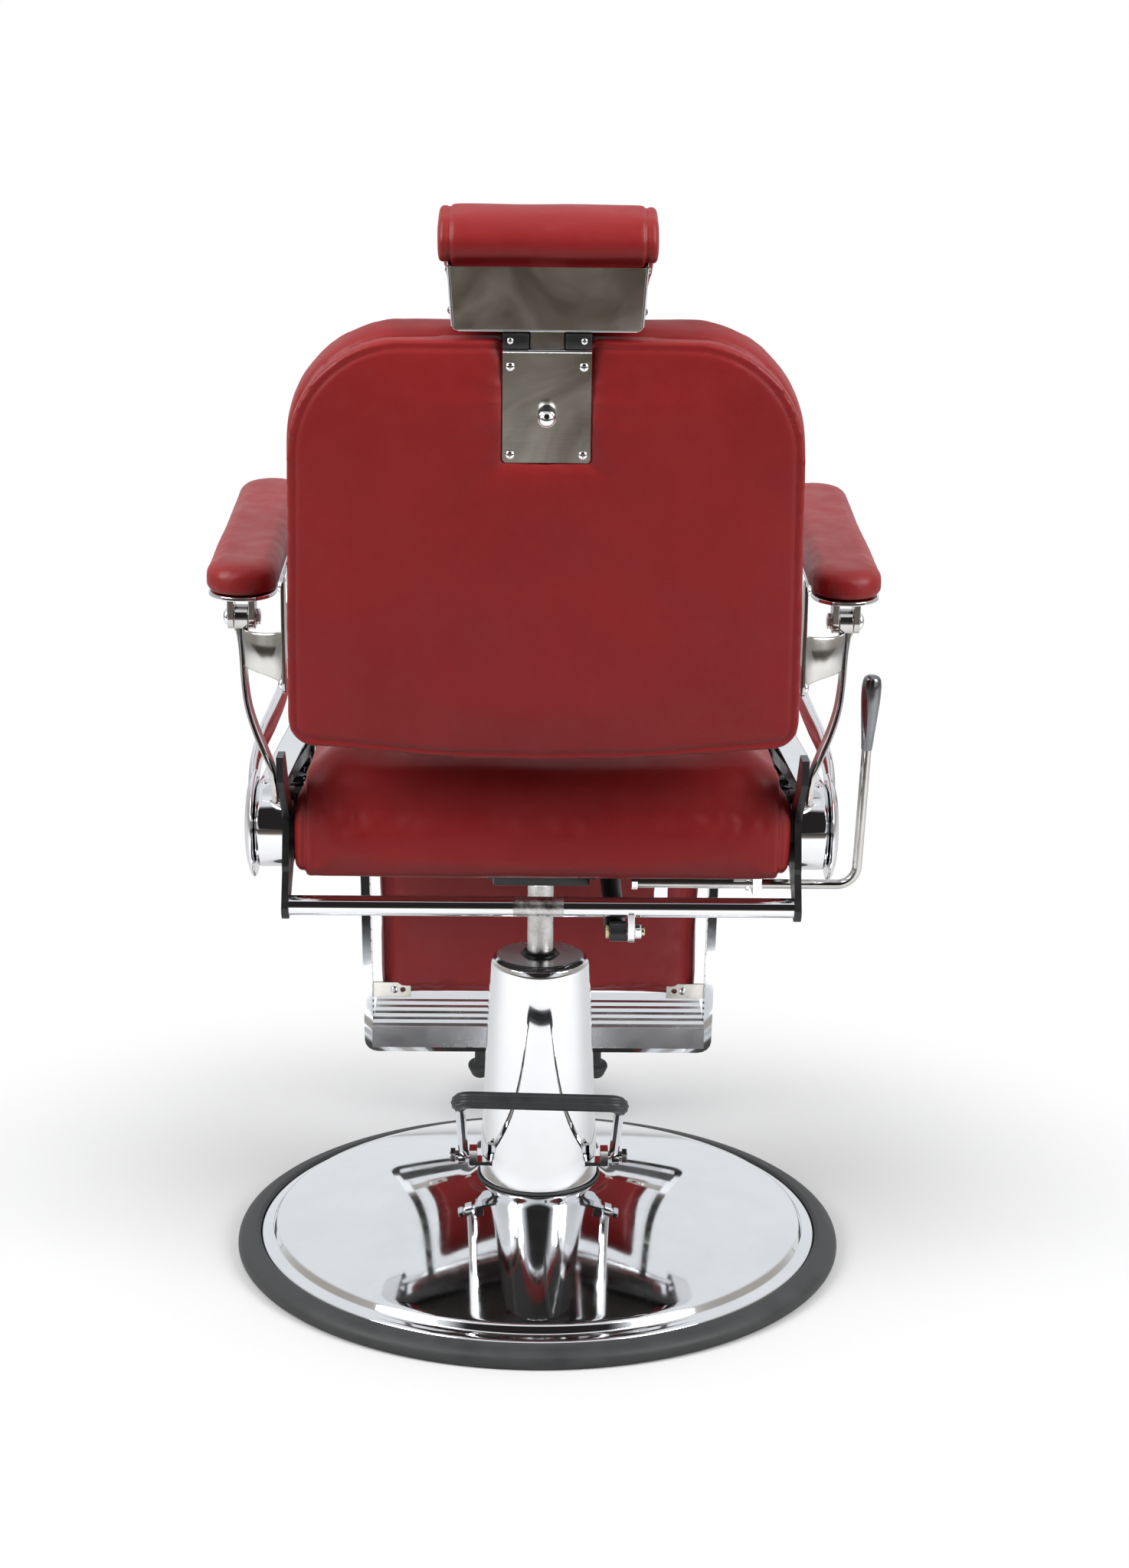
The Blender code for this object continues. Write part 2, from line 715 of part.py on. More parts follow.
def make_side_plate(name, side):
    """A flat lever from the bracket above, round the axle and down to a boss on the crossbar's end."""
    outline = [
        (0.284, 0.648),
        (0.256, 0.648),
        (0.212, 0.594),
        *arc(PIVOT.yz, 0.026, 60, 235, 9),
        *arc(CROSSBAR.yz, 0.0145, 225, 360, 7),
        *arc((0.226, 0.520), 0.012, 330, 390, 3),
        (0.222, 0.568),
        (0.284, 0.622),
    ]
    centre = side * (PLATE_INNER + PLATE_OUTER) / 2
    axle = circle(PIVOT.yz, AXLE_RADIUS + 0.0006, 32)
    made = plate(f"side_plate_{name}", [outline, axle], PLATE_OUTER - PLATE_INNER, side_plane(centre))
    pin = PIVOT + CRANK
    link_pin = rod("link_pin", (side * PLATE_INNER, *pin.yz), (side * 0.2850, *pin.yz), 0.0035, sides=16)
    ear = rod("ear", (side * PLATE_INNER, *pin.yz), (side * PLATE_OUTER, *pin.yz), 0.0080, sides=20)
    return union(made, ear, link_pin)


def make_swept_arm(name, side):
    """A domed disc on a stub axle, and a flat arm that sweeps forward and up to the armrest."""
    turn = Matrix.Translation((0, *PIVOT.yz)) @ Matrix.Rotation(side * math.pi / 2, 4, "Y")
    face = BOX_OUTER + GAP
    disc = turned(
        f"swept_arm_{name}",
        [
            (0.0, DISC_OUTER),
            (0.022, DISC_OUTER - 0.0006),
            (0.042, DISC_OUTER - 0.0030),
            (0.0545, DISC_OUTER - 0.0070),
            (DISC_RADIUS, face + 0.0018),
            (DISC_RADIUS - 0.002, face),
            (AXLE_RADIUS, face),
            (AXLE_RADIUS, PLATE_INNER + 0.0005),
            (0.0, PLATE_INNER + 0.0005),
        ],
        closed=False,
        steps=32,
        matrix=turn,
    )
    stations = smooth_path(
        [
            (0.3095, 0.150, 0.570),
            (0.3095, 0.122, 0.597),
            (0.3045, 0.085, 0.620),
            (0.2970, 0.040, 0.636),
            (0.2905, -0.010, 0.653),
            (0.2870, -0.060, 0.682),
            (0.2890, -0.096, 0.725),
            (0.2930, -0.115, 0.775),
            (0.2960, -0.120, 0.8392),
        ],
        2,
    )
    rings = []
    for i, centre in enumerate(stations):
        ahead = stations[min(i + 1, len(stations) - 1)] - stations[max(i - 1, 0)]
        across = Vector((0, -ahead.z, ahead.y)).normalized()
        share = i / (len(stations) - 1)
        wide = 0.0175 - 0.005 * share
        thick = 0.0050
        ring = []
        for u, v in ((-1, -1), (1, -1), (1, 0.3), (0.6, 1), (-0.6, 1), (-1, 0.3)):
            ring.append(mirrored(centre + across * (u * wide) + Vector((v * thick, 0, 0)), side))
        rings.append(ring)
    sweep = loft("sweep", rings)
    high = ARM_PAD_BOTTOM - ARM_PLATE - 2 * GAP
    left = min(side * 0.2890, side * 0.3250)
    foot = box("foot", (left, -0.145, high - 0.0050), (left + 0.0360, -0.095, high), arm_slope())
    return union(disc, sweep, foot)


def make_rear_bracket(name, side):
    """The casting between armrest, side plate and back: a lug, a narrow strip down and a wide band inward."""
    lug = plate(
        f"rear_bracket_{name}",
        [
            [
                *arc(ARM_PIVOT.yz, 0.0125, 200, -20, 13),
                (0.2575, 0.7700),
                (0.2560, 0.7500),
                (0.2400, 0.7500),
                (0.2375, 0.7700),
            ],
            circle(ARM_PIVOT.yz, 0.0058, 28),
        ],
        2 * (CLEVIS_HALF_GAP - 0.0006),
        side_plane(side * ARM_X),
    )
    strip_path = smooth_path(
        [
            (0.3065, 0.2480, 0.7600),
            (0.3050, 0.2520, 0.7250),
            (0.3010, 0.2580, 0.6970),
            (0.2930, 0.2640, 0.6720),
            (0.2835, 0.2680, 0.6500),
            (0.2770, 0.2690, 0.6320),
            (0.2750, 0.2660, 0.6130),
            (0.2750, 0.2560, 0.5960),
        ],
        3,
    )
    rings = []
    for i, centre in enumerate(strip_path):
        ahead = strip_path[min(i + 1, len(strip_path) - 1)] - strip_path[max(i - 1, 0)]
        outward = Vector((ahead.z, 0, -ahead.x)).normalized()
        share = i / (len(strip_path) - 1)
        wide = 0.0115 + 0.003 * math.sin(math.pi * share)
        corners = ((-1, -1), (1, -1), (1, 1), (-1, 1))
        ring = []
        for u, v in corners:
            ring.append(mirrored(centre + Vector((0, u * wide, 0)) + outward * (v * 0.0026), side))
        rings.append(ring)
    strip = loft("strip", rings)
    band_path = smooth_path(
        [
            (0.3060, 0.2430, 0.0),
            (0.3050, 0.2570, 0.0),
            (0.3000, 0.2680, 0.0),
            (0.2900, 0.2760, 0.0),
            (0.2780, 0.2810, 0.0),
            (0.2680, 0.2860, 0.0),
            (0.2610, 0.2940, 0.0),
            (0.2596, 0.3060, 0.0),
        ],
        3,
    )
    rings = []
    for i, centre in enumerate(band_path):
        ahead = band_path[min(i + 1, len(band_path) - 1)] - band_path[max(i - 1, 0)]
        outward = Vector((ahead.y, -ahead.x, 0)).normalized()
        share = i / (len(band_path) - 1)
        waist = math.sin(math.pi * share)
        low = 0.7420 - 0.0210 * share + 0.0020 * waist
        high = 0.7800 + 0.0040 * share - 0.0060 * waist
        ring = []
        for v, z in ((-1, low), (1, low), (1, high), (-1, high)):
            place = centre + outward * (v * 0.0017)
            ring.append(mirrored((place.x, place.y, z), side))
        rings.append(ring)
    band = loft("band", rings)
    foot_outline = [*arc((0.3060, 0.7330), 0.0125, 180, 360, 7), *arc((0.3060, 0.8270), 0.0125, 0, 180, 7)]
    foot = plate("foot", [foot_outline], 0.0034, side_plane(side * 0.2596))
    return union(lug, strip, band, foot)


def arm_slope():
    """The shear that tilts level shapes to the armrests' slope, about the pivot."""
    shear = Matrix.Translation((0, 0, ARM_SLOPE * ARM_PIVOT.y))
    shear[2][1] = -ARM_SLOPE
    return shear


def arm_outline(half, rear, front):
    return [
        *arc((0.0, rear - half), half, 0, 180, 11),
        *arc((0.0, front + half * 0.8), half, 180, 360, 9),
    ]


def make_armrests():
    """Each armrest: a steel plate with two clevis ears, a padded top and the bolt through the ears."""
    nodes = {}
    middle = ARM_PAD_BOTTOM - GAP - ARM_PLATE / 2
    for name, side in SIDES:
        x = side * ARM_X
        lift = Matrix.Translation((x, 0, 0)) @ arm_slope()
        shape = [arm_outline(ARM_HALF_WIDTH - 0.003, ARM_REAR - 0.004, ARM_FRONT + 0.01)]
        holder = plate(f"arm_plate_{name}", shape, ARM_PLATE, lift @ Matrix.Translation((0, 0, middle)))
        for ear_name, out in (("in", -1), ("out", 1)):
            near = x + out * CLEVIS_HALF_GAP
            far = x + out * (CLEVIS_HALF_GAP + CLEVIS_EAR)
            ear = plate(
                f"ear_{ear_name}",
                [
                    [
                        (0.2620, 0.8095),
                        (0.2340, 0.8095),
                        (0.2355, 0.7870),
                        *arc(ARM_PIVOT.yz, 0.0125, 180, 360, 11)[1:-1],
                        (0.2605, 0.7870),
                    ]
                ],
                CLEVIS_EAR,
                side_plane((near + far) / 2),
            )
            holder = union(holder, ear)
        hole = rod("hole", (x - 0.03, *ARM_PIVOT.yz), (x + 0.03, *ARM_PIVOT.yz), 0.0056, sides=28)
        nodes[f"arm_plate_{name}"] = cut(holder, hole)
        rings = []
        levels = ((0.0, 0.004), (0.006, 0.0), (0.020, 0.0005), (0.0265, 0.006), (ARM_PAD_HEIGHT, 0.0145))
        for height, inset in levels:
            outline = arm_outline(ARM_HALF_WIDTH - inset, ARM_REAR - inset, ARM_FRONT + inset)
            rings.append([Vector((px, py, ARM_PAD_BOTTOM + height)) for px, py in outline])
        nodes[f"arm_pad_{name}"] = loft(f"arm_pad_{name}", rings, lift)
        y, z = ARM_PIVOT.yz
        face = CLEVIS_HALF_GAP + CLEVIS_EAR + 0.0004
        inner = x - side * (face + 0.0050)
        outer = x + side * (face + 0.0046)
        bolt = rod(f"arm_bolt_{name}", (inner, y, z), (x + side * (face + 0.001), y, z), 0.0050, sides=24)
        head = rod("head", (x + side * face, y, z), (outer, y, z), 0.0085, 0.0066, sides=24)
        nut = rod("nut", (x - side * face, y, z), (inner, y, z), 0.0085, sides=6)
        nodes[f"arm_bolt_{name}"] = union(bolt, head, nut)
    return nodes


def back_outline(grow=0.0, crown=0.0):
    """The back's outline in its own plane, from the foot: big top corners and a slightly convex foot."""
    half = BACK_HALF_WIDTH + grow
    top = BACK_HEIGHT + grow + crown
    big = 0.115 + grow
    small = 0.026 + grow
    right = [
        (0.10, 0.0025 - grow),
        *arc((half + 0.0035 - small, 0.0135 + small - grow), small, -70, 0, 4),
        (half + 0.0015, 0.150),
        *arc((half - 0.003 - big, top - big), big, 0, 80, 9),
        (0.060, top),
    ]
    return [(0.0, -grow), *right, *[(-x, y) for x, y in reversed(right)]]


def make_back():
    """The upholstered back, its headrest guide and the steel plate over the guide."""
    nodes = {}
    half_panel = BACK_PANEL / 2
    middle = BACK_FRAME @ Matrix.Translation((0, 0, half_panel))
    panel = plate("back_panel", [back_outline()], BACK_PANEL, middle)
    groove = box("groove", (-0.0175, 0.3130, -0.02), (0.0175, 0.50, 0.0092), BACK_FRAME)
    room_ends = ((0, KNOB_HEIGHT, -0.02), (0, KNOB_HEIGHT, 0.0092))
    knob_room = rod("room", *room_ends, 0.010, sides=24, matrix=BACK_FRAME)
    notch = box("notch", (-0.0424, GUIDE_LOW - 0.0004, -0.02), (0.0424, 0.50, 0.0154), BACK_FRAME)
    nodes["back_panel"] = cut(panel, groove, knob_room, notch)
    rings = []
    start = BACK_PANEL + GAP
    levels = (
        (start, 0.0, 0.0),
        (start + 0.014, 0.003, 0.002),
        (0.062, 0.003, 0.006),
        (0.090, -0.001, 0.004),
        (0.104, -0.010, 0.0),
        (BACK_THICKNESS, -0.026, 0.0),
    )
    for depth, grow, crown in levels:
        rings.append([Vector((x, y, depth)) for x, y in back_outline(grow, crown)])
    nodes["back_cushion"] = loft("back_cushion", rings, BACK_FRAME)
    guide = box("headrest_guide", (-0.042, GUIDE_LOW, -0.0040), (0.042, GUIDE_HIGH, 0.0150), BACK_FRAME)
    slot = box("slot", (-POST_HALF - 0.0006, 0.40, -0.0100), (POST_HALF + 0.0006, 0.46, 0.0079), BACK_FRAME)
    nodes["headrest_guide"] = bevelled(cut(guide, slot), 0.0012)
    outline = [
        *arc((HEAD_PLATE_HALF - 0.004, HEAD_PLATE_LOW + 0.004), 0.004, -90, 0, 4),
        (HEAD_PLATE_HALF, HEAD_PLATE_HIGH),
        (-HEAD_PLATE_HALF, HEAD_PLATE_HIGH),
        *arc((-HEAD_PLATE_HALF + 0.004, HEAD_PLATE_LOW + 0.004), 0.004, 180, 270, 4),
    ]
    cover = plate(
        "headrest_plate",
        [outline, circle((0.0, KNOB_HEIGHT), 0.0062, 28)],
        0.0018,
        BACK_FRAME @ Matrix.Translation((0, 0, -0.0012)),
    )
    lip = rod(
        "lip",
        (-HEAD_PLATE_HALF, HEAD_PLATE_HIGH, -0.0022),
        (HEAD_PLATE_HALF, HEAD_PLATE_HIGH, -0.0022),
        0.0019,
        sides=16,
        matrix=BACK_FRAME,
    )
    nodes["headrest_plate"] = union(cover, lip)
    return nodes


def make_knob():
    def at(depth):
        return (0, KNOB_HEIGHT, depth)

    stem = rod("release_knob", at(0.0007), at(-0.012), 0.0052, sides=16, matrix=BACK_FRAME)
    collar = rod("collar", at(-0.0026), at(-0.0050), 0.0085, sides=16, matrix=BACK_FRAME)
    top = ball("top", (0, KNOB_HEIGHT, -0.0165), 0.0090, BACK_FRAME)
    return {"release_knob": union(stem, collar, top)}


def make_headrest():
    """The sliding headrest: flat post, steel channel and cushion."""
    nodes = {}
    post_rear = 0.0013
    post_front = post_rear + POST_THICKNESS
    post = box("headrest_post", (-POST_HALF, 0.3145, post_rear), (POST_HALF, 0.4950, post_front), BACK_FRAME)
    nodes["headrest_post"] = bevelled(post, 0.0010)
    wall = 0.0022
    rear_face = -0.0014
    corner = CHANNEL_CORNER
    outline = [
        *arc((CHANNEL_HALF_LOW - corner, CHANNEL_LOW + corner), corner, -90, 0, 5),
        (CHANNEL_HALF_HIGH, CHANNEL_HIGH),
        (-CHANNEL_HALF_HIGH, CHANNEL_HIGH),
        *arc((-CHANNEL_HALF_LOW + corner, CHANNEL_LOW + corner), corner, 180, 270, 5),
    ]
    middle = BACK_FRAME @ Matrix.Translation((0, 0, rear_face + wall / 2))
    channel = plate("headrest_channel", [outline], wall, middle)
    for name, side in SIDES:
        rings = []
        for x, y in ((CHANNEL_HALF_LOW, CHANNEL_LOW + corner), (CHANNEL_HALF_HIGH, CHANNEL_HIGH)):
            out = x + FLANGE_SPLAY
            corners = ((x, rear_face), (out, FLANGE_DEPTH), (out - wall, FLANGE_DEPTH), (x - wall, rear_face))
            rings.append([Vector((side * px, y, pz)) for px, pz in corners])
        channel = union(channel, loft(f"flange_{name}", rings, BACK_FRAME))
    nodes["headrest_channel"] = channel
    rings = []
    low_z = POST_THICKNESS + post_rear + GAP + 0.0009
    profile = [
        (0.4425, 0.0300),
        (0.4412, 0.0550),
        (0.4620, 0.0850),
        (0.5020, 0.0960),
        (0.5370, 0.0800),
        (0.5495, 0.0450),
        (0.5430, 0.0100),
        (0.5240, -0.0020),
        (0.5080, 0.0015),
        (0.5015, low_z),
        (0.4500, low_z),
    ]
    centre_y = 0.498
    centre_z = 0.045
    half = 0.1035
    stations = ((-1.0, 0.82), (-0.97, 0.95), (-0.87, 1.0), (0.87, 1.0), (0.97, 0.95), (1.0, 0.82))
    for share, scale in stations:
        ring = []
        for y, z in profile:
            height = centre_y + (y - centre_y) * scale
            narrow = 1 - 0.15 * max(0.0, 0.505 - height) / 0.065
            ring.append(Vector((share * half * narrow, height, centre_z + (z - centre_z) * scale)))
        rings.append(ring)
    body = loft("headrest_cushion", rings, BACK_FRAME)
    clear = wall + 0.0012
    deep = FLANGE_DEPTH + 0.0015
    for name, side in SIDES:
        room = []
        for x, y in ((CHANNEL_HALF_LOW, CHANNEL_LOW - 0.01), (CHANNEL_HALF_HIGH, CHANNEL_HIGH + 0.0015)):
            near = x - clear
            corners = ((near - 0.0008, -0.01), (0.12, -0.01), (0.12, deep), (near + FLANGE_SPLAY, deep))
            room.append([Vector((side * px, y, pz)) for px, pz in corners])
        body = cut(body, loft(f"room_{name}", room, BACK_FRAME))
    nodes["headrest_cushion"] = body
    return nodes


def make_lever():
    """The recline lever: a shaft under the seat, an elbow outside the housing and an upright grip."""
    low = Vector((-0.103, *LEVER_SHAFT.yz))
    elbow = Vector((LEVER_ELBOW_X, *LEVER_SHAFT.yz))
    high = Vector((-0.3555, 0.100, 0.690))
    bend = rounded_corner(low, elbow, high, 0.022, 7)
    shaft = tube("recline_lever", [low, *bend, high], LEVER_ROD)
    nut = rod("nut", (-0.099, *LEVER_SHAFT.yz), (-0.106, *LEVER_SHAFT.yz), 0.0075, sides=6)
    finger = box("finger", (-0.139, 0.0965, 0.4440), (-0.124, 0.1035, 0.4660))
    collar = rod("collar", (-0.2290, *LEVER_SHAFT.yz), (-0.2250, *LEVER_SHAFT.yz), 0.0075, sides=20)
    shaft = union(shaft, nut, finger, collar)
    grip_low = high.lerp(elbow, 0.33)
    direction = (high - elbow).normalized()
    turn = direction.to_track_quat("Z", "Y").to_matrix().to_4x4()
    length = (high - grip_low).length + 0.010
    grip = turned(
        "lever_grip",
        [
            (0.0, length),
            (0.0060, length - 0.0008),
            (0.0098, length - 0.0050),
            (0.0108, length - 0.0120),
            (0.0104, length - 0.0350),
            (0.0078, 0.0120),
            (0.0068, 0.0020),
            (0.0062, 0.0),
            (LEVER_ROD + 0.0004, 0.0),
            (LEVER_ROD + 0.0004, length - 0.0090),
            (0.0, length - 0.0090),
        ],
        closed=True,
        steps=20,
        matrix=Matrix.Translation(grip_low) @ turn,
    )
    grip.modifiers["turn"].merge_threshold = 1e-5
    return {"recline_lever": shaft, "lever_grip": grip}


def make_lock():
    """The lock between crossbar and seat frame: a cylinder on the back's lug and a rod on the frame's pin."""
    across = Vector((1, 0, 0))
    direction = (LOCK_FRONT - LOCK_REAR).normalized()
    mouth = LOCK_REAR + direction * 0.235
    body = rod("lock_cylinder", LOCK_REAR + direction * 0.009, mouth, LOCK_RADIUS, sides=28)
    eye = rod("eye", LOCK_REAR + across * 0.0058, LOCK_REAR - across * 0.0120, 0.0108, sides=24)
    body = union(body, eye)
    bore = rod("bore", LOCK_REAR + direction * 0.030, mouth + direction * 0.01, LOCK_BORE, sides=28)
    hole_radius = LOCK_BOLT_RADIUS + 0.0004
    hole = rod("hole", LOCK_REAR + across * 0.02, LOCK_REAR - across * 0.02, hole_radius, sides=24)
    body = cut(body, bore, hole)
    tip = LOCK_REAR + direction * 0.185
    slider = rod("lock_rod", tip, LOCK_FRONT - direction * 0.0095, LOCK_ROD_RADIUS, sides=20)
    ring = rod("ring", LOCK_FRONT + across * 0.0075, LOCK_FRONT - across * 0.0075, LOCK_EYE, sides=24)
    slider = union(slider, ring)
    opening = rod("opening", LOCK_FRONT + across * 0.02, LOCK_FRONT - across * 0.02, LOCK_EYE_BORE, sides=24)
    return {"lock_cylinder": body, "lock_rod": cut(slider, opening)}


def make_footrest():
    """The footrest: shaft with cranks, bent frame, calf pad, ribbed tread, brackets and bumpers."""
    nodes = {}
    shaft = rod("footrest_shaft", (-0.2940, *FOOT_HINGE.yz), (0.2940, *FOOT_HINGE.yz), 0.0090, sides=24)
    pin = FOOT_HINGE + CRANK
    lean = math.degrees(math.atan2(CRANK.z, CRANK.y))
    outline = [
        *arc(FOOT_HINGE.yz, 0.0130, lean + 90, lean + 270, 9),
        *arc(pin.yz, 0.0075, lean - 90, lean + 90, 7),
    ]
    for name, side in SIDES:
        crank = plate(f"crank_{name}", [outline], 0.005, side_plane(side * 0.2770))
        stud = rod(f"stud_{name}", (side * 0.2770, *pin.yz), (side * 0.2850, *pin.yz), 0.0035, sides=16)
        shaft = union(shaft, crank, stud)
    nodes["footrest_shaft"] = shaft
    half = FOOT_HALF_WIDTH
    inner = half - FOOT_BAR
    bend = 0.017
    low = -FOOT_LENGTH
    outline = [
        (half, -0.014),
        (inner, -0.014),
        *arc((half - bend, low + bend), bend - FOOT_BAR, 0, -90, 5),
        *arc((-half + bend, low + bend), bend - FOOT_BAR, -90, -180, 5),
        (-inner, -0.014),
        (-half, -0.014),
        *arc((-half + bend, low + bend), bend, 180, 270, 5),
        *arc((half - bend, low + bend), bend, 270, 360, 5),
    ]
    frame = plate("footrest_frame", [outline], FOOT_BAR_DEPTH, FOOT_FRAME)
    deep = FOOT_BAR_DEPTH / 2
    eye = [*arc((0.0, 0.0), 0.0122, 0, 180, 9), (-deep, -0.030), (deep, -0.030)]
    for name, side in SIDES:
        middle = Matrix.Translation((side * (half - FOOT_BAR / 2), 0, 0))
        turn = FOOT_FRAME @ middle @ Matrix.Rotation(math.pi / 2, 4, "Y")
        frame = union(frame, plate(f"eye_{name}", [eye], FOOT_BAR - 0.0002, turn))
    through = rod("through", (-0.25, *FOOT_HINGE.yz), (0.25, *FOOT_HINGE.yz), 0.0094, sides=32)
    nodes["footrest_frame"] = cut(frame, through)
    wide = inner - 0.0030
    pad = box("footrest_pad", (-wide, FOOT_PAD_BOTTOM, -0.0040), (wide, -0.024, 0.0440), FOOT_FRAME)
    nodes["footrest_pad"] = bevelled(pad, 0.012, segments=3)
    nodes["footrest_tread"] = make_tread()
    for name, side in SIDES:
        face = -0.0043
        low = (side * 0.2100, -0.3180, face - 0.0022)
        high = (side * 0.1620, -0.2960, face)
        corners = [sorted(pair) for pair in zip(low, high)]
        bracket = box(f"pad_bracket_{name}", [c[0] for c in corners], [c[1] for c in corners], FOOT_FRAME)
        x = side * 0.172
        slot = rod("slot", (x, -0.3070, -0.02), (x, -0.3070, 0.02), 0.0035, sides=16, matrix=FOOT_FRAME)
        nodes[f"pad_bracket_{name}"] = cut(bracket, slot)
        place = Matrix.Translation((side * BUMPER_X, -FOOT_LENGTH - GAP, 0))
        turn = FOOT_FRAME @ place @ Matrix.Rotation(math.pi / 2, 4, "X")
        nodes[f"bumper_{name}"] = turned(
            f"bumper_{name}",
            [
                (0.0, 0.0470),
                (0.0100, 0.0450),
                (0.0158, 0.0310),
                (0.0150, 0.0275),
                (0.0070, 0.0260),
                (0.0070, 0.0),
                (0.0, 0.0),
            ],
            closed=False,
            steps=20,
            matrix=turn,
        )
    return nodes


def make_tread():
    """The foot plate: five ribs on top, a deep rear flange, a rolled front edge and a cheek at each end."""
    front = TREAD_REAR - TREAD_DEPTH
    top = TREAD_TOP
    rib = 0.0025
    pitch = 0.0235
    profile = [(TREAD_REAR, top - 0.0300), (TREAD_REAR, top - rib)]
    y = TREAD_REAR - 0.006
    for _ in range(5):
        far = y - pitch * 0.62
        profile += [(y, top - rib), (y - 0.0015, top), (far, top), (far - 0.0015, top - rib)]
        y -= pitch
    under = top - 0.0062
    profile += [(front, top - rib), (front - 0.006, top - 0.008)]
    profile += [(front - 0.003, top - 0.012), (front + 0.002, under)]
    profile += [(TREAD_REAR - 0.0028, under), (TREAD_REAR - 0.0028, top - 0.0300)]
    reach = FOOT_HALF_WIDTH - FOOT_BAR - GAP
    made = plate("footrest_tread", [profile], 2 * reach, side_plane(0.0))
    for name, side in SIDES:
        low = min(side * reach, side * (reach - 0.003))
        cheek_high = (low + 0.003, TREAD_REAR - 0.001, under + 0.001)
        made = union(made, box(f"cheek_{name}", (low, -0.385, top - 0.0140), cheek_high))
    return made


def make_links():
    """One bar in each housing, from the back's crank pin to the footrest's."""
    nodes = {}
    rear = (PIVOT + CRANK).yz
    front = (FOOT_HINGE + CRANK).yz
    slope = math.degrees(math.atan2(rear[1] - front[1], rear[0] - front[0]))
    outline = [
        *arc(rear, 0.0075, slope - 90, slope + 90, 7),
        *arc(front, 0.0075, slope + 90, slope + 270, 7),
    ]
    holes = [circle(rear, 0.0039, 20), circle(front, 0.0039, 20)]
    for name, side in SIDES:
        nodes[f"link_{name}"] = plate(f"link_{name}", [outline, *holes], 0.0035, side_plane(side * LINK_X))
    return nodes


def finish(bodies):
    """Gives each node its material and shading, and hangs each moving group from an empty on its joint."""
    parts = bpy.data.collections.new("barber_chair")
    bpy.context.scene.collection.children.link(parts)
    kinds = {name: kind for kind, names in KINDS.items() for name in names}
    for body, (place, nodes) in bodies.items():
        empty = bpy.data.objects.new(f"joint_{body}", None)
        empty.location = place
        parts.objects.link(empty)
        bpy.context.view_layer.update()
        for name, obj in nodes.items():
            obj.data.materials.clear()
            obj.data.materials.append(material(name, kinds[name]))
            obj.data.shade_smooth()
            obj.data.set_sharp_from_angle(angle=math.radians(35))
            bpy.context.scene.collection.objects.unlink(obj)
            parts.objects.link(obj)
            obj.parent = empty
            obj.matrix_parent_inverse = empty.matrix_world.inverted()


KINDS = {
    "leather": (
        "seat_cushion",
        "back_panel",
        "back_cushion",
        "headrest_cushion",
        "arm_pad_left",
        "arm_pad_right",
        "footrest_pad",
    ),
    "rubber": ("rubber_ring", "cover_gasket", "ram_wiper", "pedal_sleeve", "bumper_left", "bumper_right"),
    "steel": (
        "headrest_plate",
        "headrest_channel",
        "headrest_post",
        "lift_piston",
        "pad_bracket_left",
        "pad_bracket_right",
    ),
    "black": (
        "base_plate",
        "pump_body",
        "ram_hub",
        "mount_plate",
        "frame_beam",
        "frame_cross_front",
        "frame_cross_rear",
        "headrest_guide",
        "lock_cylinder",
        "lock_bracket",
        "lever_bracket",
        "link_left",
        "link_right",
        "side_plate_left",
        "side_plate_right",
    ),
    "wood": ("seat_board",),
    "aluminium": ("footrest_tread",),
    "brass": ("lock_bolt",),
    "chrome": (
        "base_dish",
        "pump_cover",
        "pedal_yoke",
        "pedal_bail",
        "ram",
        "side_box_left",
        "side_box_right",
        "crossbar",
        "swept_arm_left",
        "swept_arm_right",
        "rear_bracket_left",
        "rear_bracket_right",
        "arm_plate_left",
        "arm_plate_right",
        "arm_bolt_left",
        "arm_bolt_right",
        "release_knob",
        "recline_lever",
        "lever_grip",
        "lock_rod",
        "footrest_shaft",
        "footrest_frame",
    ),
}


def main():
    clear_scene()
    knob_place = BACK_FRAME @ Vector((0, KNOB_HEIGHT, 0))
    head_place = BACK_FRAME @ Vector((0, CHANNEL_LOW, 0))
    lock = make_lock()
    finish(
        {
            "base": (Vector((0, 0, 0)), make_base()),
            "pedal": (PEDAL_PIVOT, make_pedal()),
            "lift": (Vector((0, 0, 0)), make_lift()),
            "seat": (Vector((0, 0, 0)), make_seat()),
            "back": (PIVOT, {**make_back_carrier(), **make_armrests(), **make_back()}),
            "knob": (knob_place, make_knob()),
            "headrest": (head_place, make_headrest()),
            "lever": (LEVER_SHAFT, make_lever()),
            "lock_cylinder": (LOCK_REAR, {"lock_cylinder": lock["lock_cylinder"]}),
            "lock_rod": (LOCK_FRONT, {"lock_rod": lock["lock_rod"]}),
            "footrest": (FOOT_HINGE, make_footrest()),
            "links": (PIVOT + CRANK, make_links()),
        }
    )


main()
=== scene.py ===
"""Looks of the hydraulic barber chair: leather cushions, chrome, steel, rubber and the small fixings."""

import json
import math

import bmesh
import bpy
import numpy as np
from mathutils import Matrix, Vector
from mathutils.bvhtree import BVHTree


